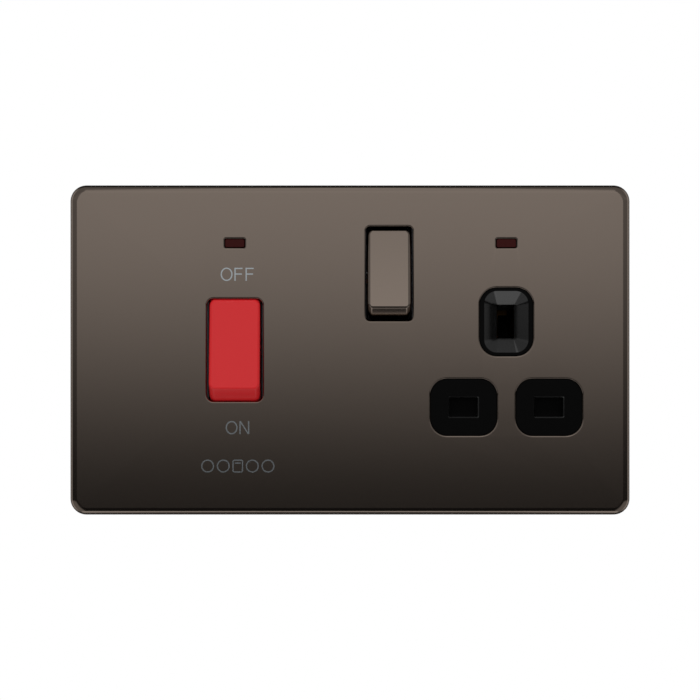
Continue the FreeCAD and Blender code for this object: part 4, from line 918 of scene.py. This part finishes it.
# Pan head: height of its upright side as a share, how far its top turns, and how flat the top is.
DOME_SIDE = 0.4
DOME_TURN = math.radians(66)
DOME_POWER = 0.8
PILOT_SHANK = 1.05 * MM
PILOT_ROOT = 0.8 * MM
PILOT_PITCH = 0.9 * MM
BASE_HEAD = 1.8 * MM
BASE_TIP = 0.24 * MM
BASE_POINT = 0.9 * MM
MOUNTING_HEAD = 1.9 * MM
MOUNTING_CREST = 1.75 * MM
MOUNTING_ROOT = 1.42 * MM
MOUNTING_TIP = 0.6 * MM
MOUNTING_POINT = 1.5 * MM
MOUNTING_NECK = 2.4 * MM
GRUB_CHAMFER = 0.35 * MM
GRUB_POINT = 0.8 * MM
# Recesses: arm length from the axis, width of the arms, depth, and number of arms across.
BASE_CROSS = (1.45 * MM, 0.6 * MM, 1.1 * MM, 2)
MOUNTING_CROSS = (1.9 * MM, 0.8 * MM, 1.3 * MM, 2)
GRUB_SLOT = (2.6 * MM, 0.8 * MM, 1.2 * MM, 1)
# How far a cross narrows to its bottom, and how far what cuts a recess rises past the head, in depths.
CROSS_TAPER = 0.45
CUTTER_RISE = 0.25


def islands(node):
    """Lowest and highest corner of each loose body of a CAD node."""
    bm = bmesh.new()
    bm.from_mesh(frame["nodes"][node].data)
    bmesh.ops.remove_doubles(bm, verts=bm.verts, dist=WELD)
    bm.verts.index_update()
    seen = set()
    boxes = []
    for first in bm.verts:
        if first.index in seen:
            continue
        seen.add(first.index)
        found = [first]
        for vert in found:
            for edge in vert.link_edges:
                other = edge.other_vert(vert)
                if other.index not in seen:
                    seen.add(other.index)
                    found.append(other)
        corners = [[pick(vert.co[axis] for vert in found) for axis in range(3)] for pick in (min, max)]
        boxes.append([Vector(corner) for corner in corners])
    bm.free()
    return boxes


def dome(radius, height):
    """Outline of a pan head: an upright side under a rounded top."""
    points = [(radius, 0.0)]
    side = DOME_SIDE * height
    for step in range(DOME_STEPS + 1):
        turn = step / DOME_STEPS * DOME_TURN
        rise = (height - side) * math.sin(turn) / math.sin(DOME_TURN)
        points.append((radius * math.cos(turn) ** DOME_POWER, side + rise))
    return points


def base_screw(bm, place, radius, length):
    """Short thread-forming screw with a pan head. Gives its thread's root, crest, pitch and ends."""
    seat = length - BASE_HEAD
    outline = [(BASE_TIP, 0.0), (PILOT_ROOT, BASE_POINT), (PILOT_ROOT, seat)]
    outline += [(reach, seat + rise) for reach, rise in dome(radius, BASE_HEAD)]
    turned(bm, outline, place)
    return PILOT_ROOT, PILOT_SHANK, PILOT_PITCH, BASE_POINT, seat - PILOT_PITCH


def mounting_screw(bm, place, radius, length):
    """Long machine screw with a pan head and a blunt point. Gives its thread as the short one does."""
    seat = length - MOUNTING_HEAD
    outline = [(MOUNTING_TIP, 0.0), (MOUNTING_ROOT, MOUNTING_POINT), (MOUNTING_ROOT, seat)]
    outline += [(reach, seat + rise) for reach, rise in dome(radius, MOUNTING_HEAD)]
    turned(bm, outline, place)
    pitch = bpy.context.scene.unit_detail.thread_pitch
    return MOUNTING_ROOT, MOUNTING_CREST, pitch, MOUNTING_POINT, seat - MOUNTING_NECK


def grub_screw(bm, place, radius, length):
    """Headless clamp screw with a cone point and a slot. Its thread is out of sight and isn't drawn."""
    outline = (
        (radius - GRUB_POINT, 0.0), (radius, GRUB_POINT), (radius, length - GRUB_CHAMFER),
        (radius - GRUB_CHAMFER, length),
    )
    turned(bm, outline, place)


def star(bm, place, top, recess):
    """Slot or cross that a driver fits, as a form to cut with."""
    arm, width, depth, across = recess
    half = width / 2
    if across == 1:
        corners = [(arm, half), (-arm, half), (-arm, -half), (arm, -half)]
        taper = 1.0
    else:
        quarter = [(arm, -half), (arm, half), (half, half)]
        corners = []
        for turn in range(4):
            corners += [Matrix.Rotation(turn * math.pi / 2, 2) @ Vector(corner) for corner in quarter]
        taper = CROSS_TAPER
    rings = []
    for share, level in ((taper, top - depth), (1.0, top + depth * CUTTER_RISE)):
        points = [place @ Vector((x * share, y * share, level)) for x, y in corners]
        rings.append(add_ring(bm, points))
    closed_skin(bm, rings)


def build_screws(node, shape, recess):
    """Screws of one node: bodies, driver recesses, and threads where they show."""
    bodies = bmesh.new()
    recesses = bmesh.new()
    threads = []
    faces_back = node != "mounting_screws"
    for low, high in islands(node):
        middle = (low + high) / 2
        radius = (high.x - low.x) / 2
        tip = low.y if faces_back else high.y
        place = Matrix.Translation((middle.x, tip, middle.z)) @ along((0, 1 if faces_back else -1, 0))
        # No two screws are driven home at the same turn.
        place = place @ Matrix.Rotation(middle.x / radius, 4, "Z")
        length = high.y - low.y
        ridge = shape(bodies, place, radius, length)
        if ridge:
            threads.append((place, *ridge))
        star(recesses, place, length, recess)
    obj = piece(node + "_cut", bodies, node)
    bmesh.ops.recalc_face_normals(recesses, faces=recesses.faces)
    cut_away(obj, [mesh_object("recesses", recesses)])
    if threads:
        bm = bmesh.new()
        for ridge in threads:
            thread(bm, *ridge)
        bmesh.ops.recalc_face_normals(bm, faces=bm.faces)
        smooth(bm)
        bm.from_mesh(obj.data)
        bm.to_mesh(obj.data)
        bm.free()
    settle_normals(obj)
    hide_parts(node)


# Operators: one for each group of pieces, and one for the stage

class UNIT_OT_plate(bpy.types.Operator):
    """Make the plated front with its rolled rims"""
    bl_idname = "cooker_unit.plate"
    bl_label = "Front plate"

    def execute(self, context):
        build_plate()
        return {"FINISHED"}


class UNIT_OT_legends(bpy.types.Operator):
    """Print the legends on the plate"""
    bl_idname = "cooker_unit.legends"
    bl_label = "Legends"

    def execute(self, context):
        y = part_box("front_plate")[0].y
        height = context.scene.unit_detail.legend_height
        ink = legend_ink()
        words = {
            "legend_off": word("OFF", OFF_PLACE, height, y),
            "legend_on": word("ON", ON_PLACE, height, y),
            "legend_cooker_sign": cooker_sign(height, y),
        }
        for name, bm in words.items():
            piece(name, bm, "front_plate", material=ink)
        return {"FINISHED"}


class UNIT_OT_mouldings(bpy.types.Operator):
    """Dress the mouldings: shell, frame, rear mouldings, rockers and shutter"""
    bl_idname = "cooker_unit.mouldings"
    bl_label = "Mouldings"

    def execute(self, context):
        dress_slots({
            "black_moulding": 0.06 * MM, "grey_moulding": 0.15 * MM, "rear_moulding": 0.12 * MM,
            "red_moulding": 0.0, "white_nylon": 0.0,
        })
        build_cap()
        return {"FINISHED"}


class UNIT_OT_conductors(bpy.types.Operator):
    """Dress terminals, bars, straps, contact arms, contacts and receptacles"""
    bl_idname = "cooker_unit.conductors"
    bl_label = "Conductors"

    def execute(self, context):
        dress_slots({"copper": 0.08 * MM, "bronze": 0.05 * MM, "brass": 0.08 * MM, "silver": 0.0})
        return {"FINISHED"}


class UNIT_OT_neons(bpy.types.Operator):
    """Make the neon indicators: lens, lamp with its electrodes, and resistor with its bands"""
    bl_idname = "cooker_unit.neons"
    bl_label = "Neon indicators"

    def execute(self, context):
        dress_slots({"red_lens": 0.12 * MM, "lamp_glass": 0.0, "resistor_lacquer": 0.0})
        for node in [node for node, slot in SLOT_OF.items() if slot == "lamp_glass"]:
            build_electrodes(node)
        bands = {name: band_paint(name + "_paint", code) for name, code in BAND_PAINTS.items()}
        for node in [node for node, slot in SLOT_OF.items() if slot == "resistor_lacquer"]:
            build_bands(node, bands)
        return {"FINISHED"}


class UNIT_OT_springs(bpy.types.Operator):
    """Wind the round-wire springs"""
    bl_idname = "cooker_unit.springs"
    bl_label = "Springs"

    def execute(self, context):
        for node in PLUNGER_SPRINGS:
            build_plunger_spring(node)
        build_shutter_spring()
        return {"FINISHED"}


class UNIT_OT_screws(bpy.types.Operator):
    """Make the screws with their recesses and threads"""
    bl_idname = "cooker_unit.screws"
    bl_label = "Screws"

    def execute(self, context):
        build_screws("base_screws", base_screw, BASE_CROSS)
        build_screws("mounting_screws", mounting_screw, MOUNTING_CROSS)
        for node in ("terminal_screws", "earth_terminal_screws"):
            build_screws(node, grub_screw, GRUB_SLOT)
        return {"FINISHED"}


class UNIT_OT_stage(bpy.types.Operator):
    """Set up the camera, the light, the graded tent and the floor"""
    bl_idname = "cooker_unit.stage"
    bl_label = "Stage"

    def execute(self, context):
        studio = context.scene.unit_studio
        set_camera(studio)
        set_world(studio)
        set_key_light(studio)
        set_tent(studio)
        set_floor()
        context.scene.view_settings.view_transform = "Standard"
        return {"FINISHED"}


# Stage

FLOOR_Z = -0.25
FLOOR_RADIUS = 0.8
TENT_RADIUS = 0.95
TENT_TURNS = 64
TENT_LEVELS = 32
FLOOR_STEPS = 96
SENSOR_WIDTH = 36.0
KEY_PLACE = (-0.1, -0.6, 0.75)
KEY_SIZE = 0.7
# Where the tent's tones change, in degrees above the horizon.
HORIZON = (-7.6, 7.4)
FLOOR_EDGE = (-20.0, -9.0)
WALL_RISE = (8.0, 14.0)
WALL_TOP = (16.0, 21.0)
CEILING = (78.0, 90.0)
LOW_EDGE = (-9.0, -16.0)
LOW_ENDS = (-55.0, -75.0)
LOW_WINDOW = (-60.0, -66.0)
FOOT = (-76.0, -83.0)
# The same in degrees above or below the horizon.
PANEL_ENDS = (35.0, 60.0)
# The same in degrees to the right of the front.
RIGHT_PANEL = (84.0, 92.0)
LEFT_PANEL = (-84.0, -92.0)
# The same in degrees to either side of the front.
WALL_EDGE = (14.0, 18.0)
LOW_SIDES = (16.0, 34.0)
BACK_WALL = (88.0, 110.0)
PANEL_BACK = (108.0, 130.0)
# Tones, where 1 is white.
FLOOR_TONE = 0.045
LOW_TONE = 0.3
SIDE_TONE = 0.5
WINDOW_TONE = 0.75
# Shares that a tone is brightened or darkened to.
FLOOR_SHARE = 0.4
BRIGHT_SHARE = 1.2
HIGH_SHARE = 0.82
CEILING_SHARE = 0.1
CORNER_SHARE = 0.4
FOOT_SHARE = 0.15
BACK_SHARE = 0.15


def set_camera(studio):
    """Camera straight before the middle of the plate."""
    camera = bpy.data.cameras.new("camera")
    camera.lens = studio.lens
    camera.sensor_width = SENSOR_WIDTH
    holder = bpy.data.objects.new("camera", camera)
    holder.location = (0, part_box("front_plate")[0].y - studio.distance, 0)
    holder.rotation_euler = (math.pi / 2, 0, 0)
    bpy.context.scene.collection.objects.link(holder)
    bpy.context.scene.camera = holder


def set_world(studio):
    """Even light from the room, seen as plain white by the camera, metal and glass."""
    world = bpy.data.worlds.new("room")
    bpy.context.scene.world = world
    world.use_nodes = True
    tree = world.node_tree
    tree.nodes.clear()
    path = add_node(tree, "LightPath").outputs
    seen = path["Is Camera Ray"]
    for ray in ("Is Glossy Ray", "Is Transmission Ray"):
        seen = add_node(tree, "Math", {"operation": "MAXIMUM"}, {0: seen, 1: path[ray]}).outputs[0]
    light, white = (
        add_node(tree, "Background", {"Color": (1, 1, 1, 1), "Strength": strength}).outputs[0]
        for strength in (studio.ambient, 1.0)
    )
    mix = add_node(tree, "MixShader", {}, {0: seen, 1: light, 2: white})
    add_node(tree, "OutputWorld", {}, {"Surface": mix.outputs[0]})


def set_key_light(studio):
    """Soft light from above the camera, which lights the mouldings and leaves no glare on the metal."""
    lamp = bpy.data.lights.new("key", "AREA")
    lamp.energy = studio.key_power
    lamp.size = KEY_SIZE
    holder = bpy.data.objects.new("key", lamp)
    holder.location = KEY_PLACE
    holder.rotation_euler = (-Vector(KEY_PLACE)).to_track_quat("-Z", "Y").to_euler()
    holder.visible_glossy = False
    bpy.context.scene.collection.objects.link(holder)


def tent_lights(studio):
    """Lights of the tent, each a product of ramps: the angle it follows, its range and its two tones."""
    foot = ("height", FOOT, (1.0, FOOT_SHARE))
    back = ("aside", BACK_WALL, (1.0, BACK_SHARE))
    ends = ("slope", PANEL_ENDS, (1.0, 0.0))
    panel_back = ("aside", PANEL_BACK, (1.0, BACK_SHARE))
    return {
        "wall and floor ahead": (
            ("height", HORIZON, (FLOOR_TONE, studio.wall_tone)), ("height", FLOOR_EDGE, (FLOOR_SHARE, 1.0)),
            ("height", WALL_RISE, (1.0, BRIGHT_SHARE)), ("height", WALL_TOP, (1.0, HIGH_SHARE)),
            ("height", CEILING, (1.0, CEILING_SHARE)), ("aside", WALL_EDGE, (1.0, CORNER_SHARE)), foot, back,
        ),
        "low window": (("height", LOW_WINDOW, (0.0, WINDOW_TONE)), foot, back),
        "low sides": (
            ("height", LOW_EDGE, (0.0, LOW_TONE)), ("height", LOW_ENDS, (1.0, 0.0)),
            ("aside", LOW_SIDES, (0.0, 1.0)), back,
        ),
        "right panel": (("turn", RIGHT_PANEL, (0.0, SIDE_TONE)), panel_back, ends),
        "left panel": (("turn", LEFT_PANEL, (0.0, SIDE_TONE)), panel_back, ends),
    }


def graded_cloth(studio):
    """Cloth of the tent: its glow is graded by direction, so that metal shows soft tones and no lamps."""
    material = bpy.data.materials.new("graded_cloth")
    material.use_nodes = True
    material.cycles.emission_sampling = "NONE"
    tree = material.node_tree
    tree.nodes.clear()
    place = add_node(tree, "TexCoord").outputs["Object"]
    facing = add_node(tree, "Mapping", {"Scale": (1, -1, 1)}, {"Vector": place}).outputs["Vector"]
    way = add_node(tree, "VectorMath", {"operation": "NORMALIZE"}, {0: facing}).outputs[0]
    axes = add_node(tree, "SeparateXYZ", {}, {"Vector": way}).outputs
    angles = {
        "height": add_node(tree, "Math", {"operation": "ARCSINE"}, {0: axes["Z"]}).outputs[0],
        "turn": add_node(tree, "Math", {"operation": "ARCTAN2"}, {0: axes["X"], 1: axes["Y"]}).outputs[0],
    }
    for name, signed in (("slope", "height"), ("aside", "turn")):
        angles[name] = add_node(tree, "Math", {"operation": "ABSOLUTE"}, {0: angles[signed]}).outputs[0]
    # The first step of each product or sum takes its unlinked value, and the next ones the step before.
    total = {}
    for ramps in tent_lights(studio).values():
        product = {}
        for angle, (start, end), (first, last) in ramps:
            settings = {
                "interpolation_type": "SMOOTHSTEP", "From Min": math.radians(start),
                "From Max": math.radians(end), "To Min": first, "To Max": last,
            }
            ramp = add_node(tree, "MapRange", settings, {"Value": angles[angle]}).outputs["Result"]
            step = add_node(tree, "Math", {"operation": "MULTIPLY", 0: 1.0}, {**product, 1: ramp})
            product = {0: step.outputs[0]}
        step = add_node(tree, "Math", {"operation": "ADD", 0: 0.0}, {**total, 1: product[0]})
        total = {0: step.outputs[0]}
    glow = add_node(tree, "Emission", {"Color": (1, 1, 1, 1)}, {"Strength": total[0]})
    add_node(tree, "OutputMaterial", {}, {"Surface": glow.outputs[0]})
    return material


def set_tent(studio):
    """Tent that only metal, gloss and glass see, with pale walls, paler sides and a dark floor ahead."""
    bm = bmesh.new()
    bmesh.ops.create_uvsphere(bm, u_segments=TENT_TURNS, v_segments=TENT_LEVELS, radius=TENT_RADIUS)
    tent = mesh_object("tent", bm)
    tent.data.materials.append(graded_cloth(studio))
    tent.visible_camera = False
    tent.visible_diffuse = False
    tent.visible_shadow = False


def set_floor():
    """Pale round floor below the unit."""
    bm = bmesh.new()
    bmesh.ops.create_circle(bm, cap_ends=True, segments=FLOOR_STEPS, radius=FLOOR_RADIUS)
    bmesh.ops.translate(bm, verts=bm.verts, vec=(0, 0, FLOOR_Z))
    floor = mesh_object("floor", bm)
    floor.data.materials.append(pale_paper())
    floor.visible_glossy = False


class UNIT_PT_panel(bpy.types.Panel):
    """Lists the steps that dress the unit"""
    bl_idname = "UNIT_PT_panel"
    bl_label = "Cooker unit"
    bl_space_type = "VIEW_3D"
    bl_region_type = "UI"
    bl_category = "Cooker unit"

    def draw(self, context):
        for group in SETTINGS:
            settings = getattr(context.scene, group)
            for name in settings.__annotations__:
                self.layout.prop(settings, name)
        for operator in OPERATORS:
            self.layout.operator(operator.bl_idname)


OPERATORS = (
    UNIT_OT_stage, UNIT_OT_plate, UNIT_OT_legends, UNIT_OT_mouldings, UNIT_OT_conductors,
    UNIT_OT_neons, UNIT_OT_springs, UNIT_OT_screws,
)
SETTINGS = {"unit_finish": FinishSettings, "unit_detail": DetailSettings, "unit_studio": StudioSettings}


def register():
    """Make the settings, the operators and the panel known."""
    for group, kind in SETTINGS.items():
        bpy.utils.register_class(kind)
        setattr(bpy.types.Scene, group, bpy.props.PointerProperty(type=kind))
    for kind in (*OPERATORS, UNIT_PT_panel):
        bpy.utils.register_class(kind)


def unregister():
    """Take them away again."""
    for kind in (UNIT_PT_panel, *reversed(OPERATORS)):
        bpy.utils.unregister_class(kind)
    for group, kind in reversed(SETTINGS.items()):
        delattr(bpy.types.Scene, group)
        bpy.utils.unregister_class(kind)


def main():
    """Build everything."""
    register()
    for operator in OPERATORS:
        group, name = operator.bl_idname.split(".")
        getattr(getattr(bpy.ops, group), name)()


if __name__ == "__main__":
    main()
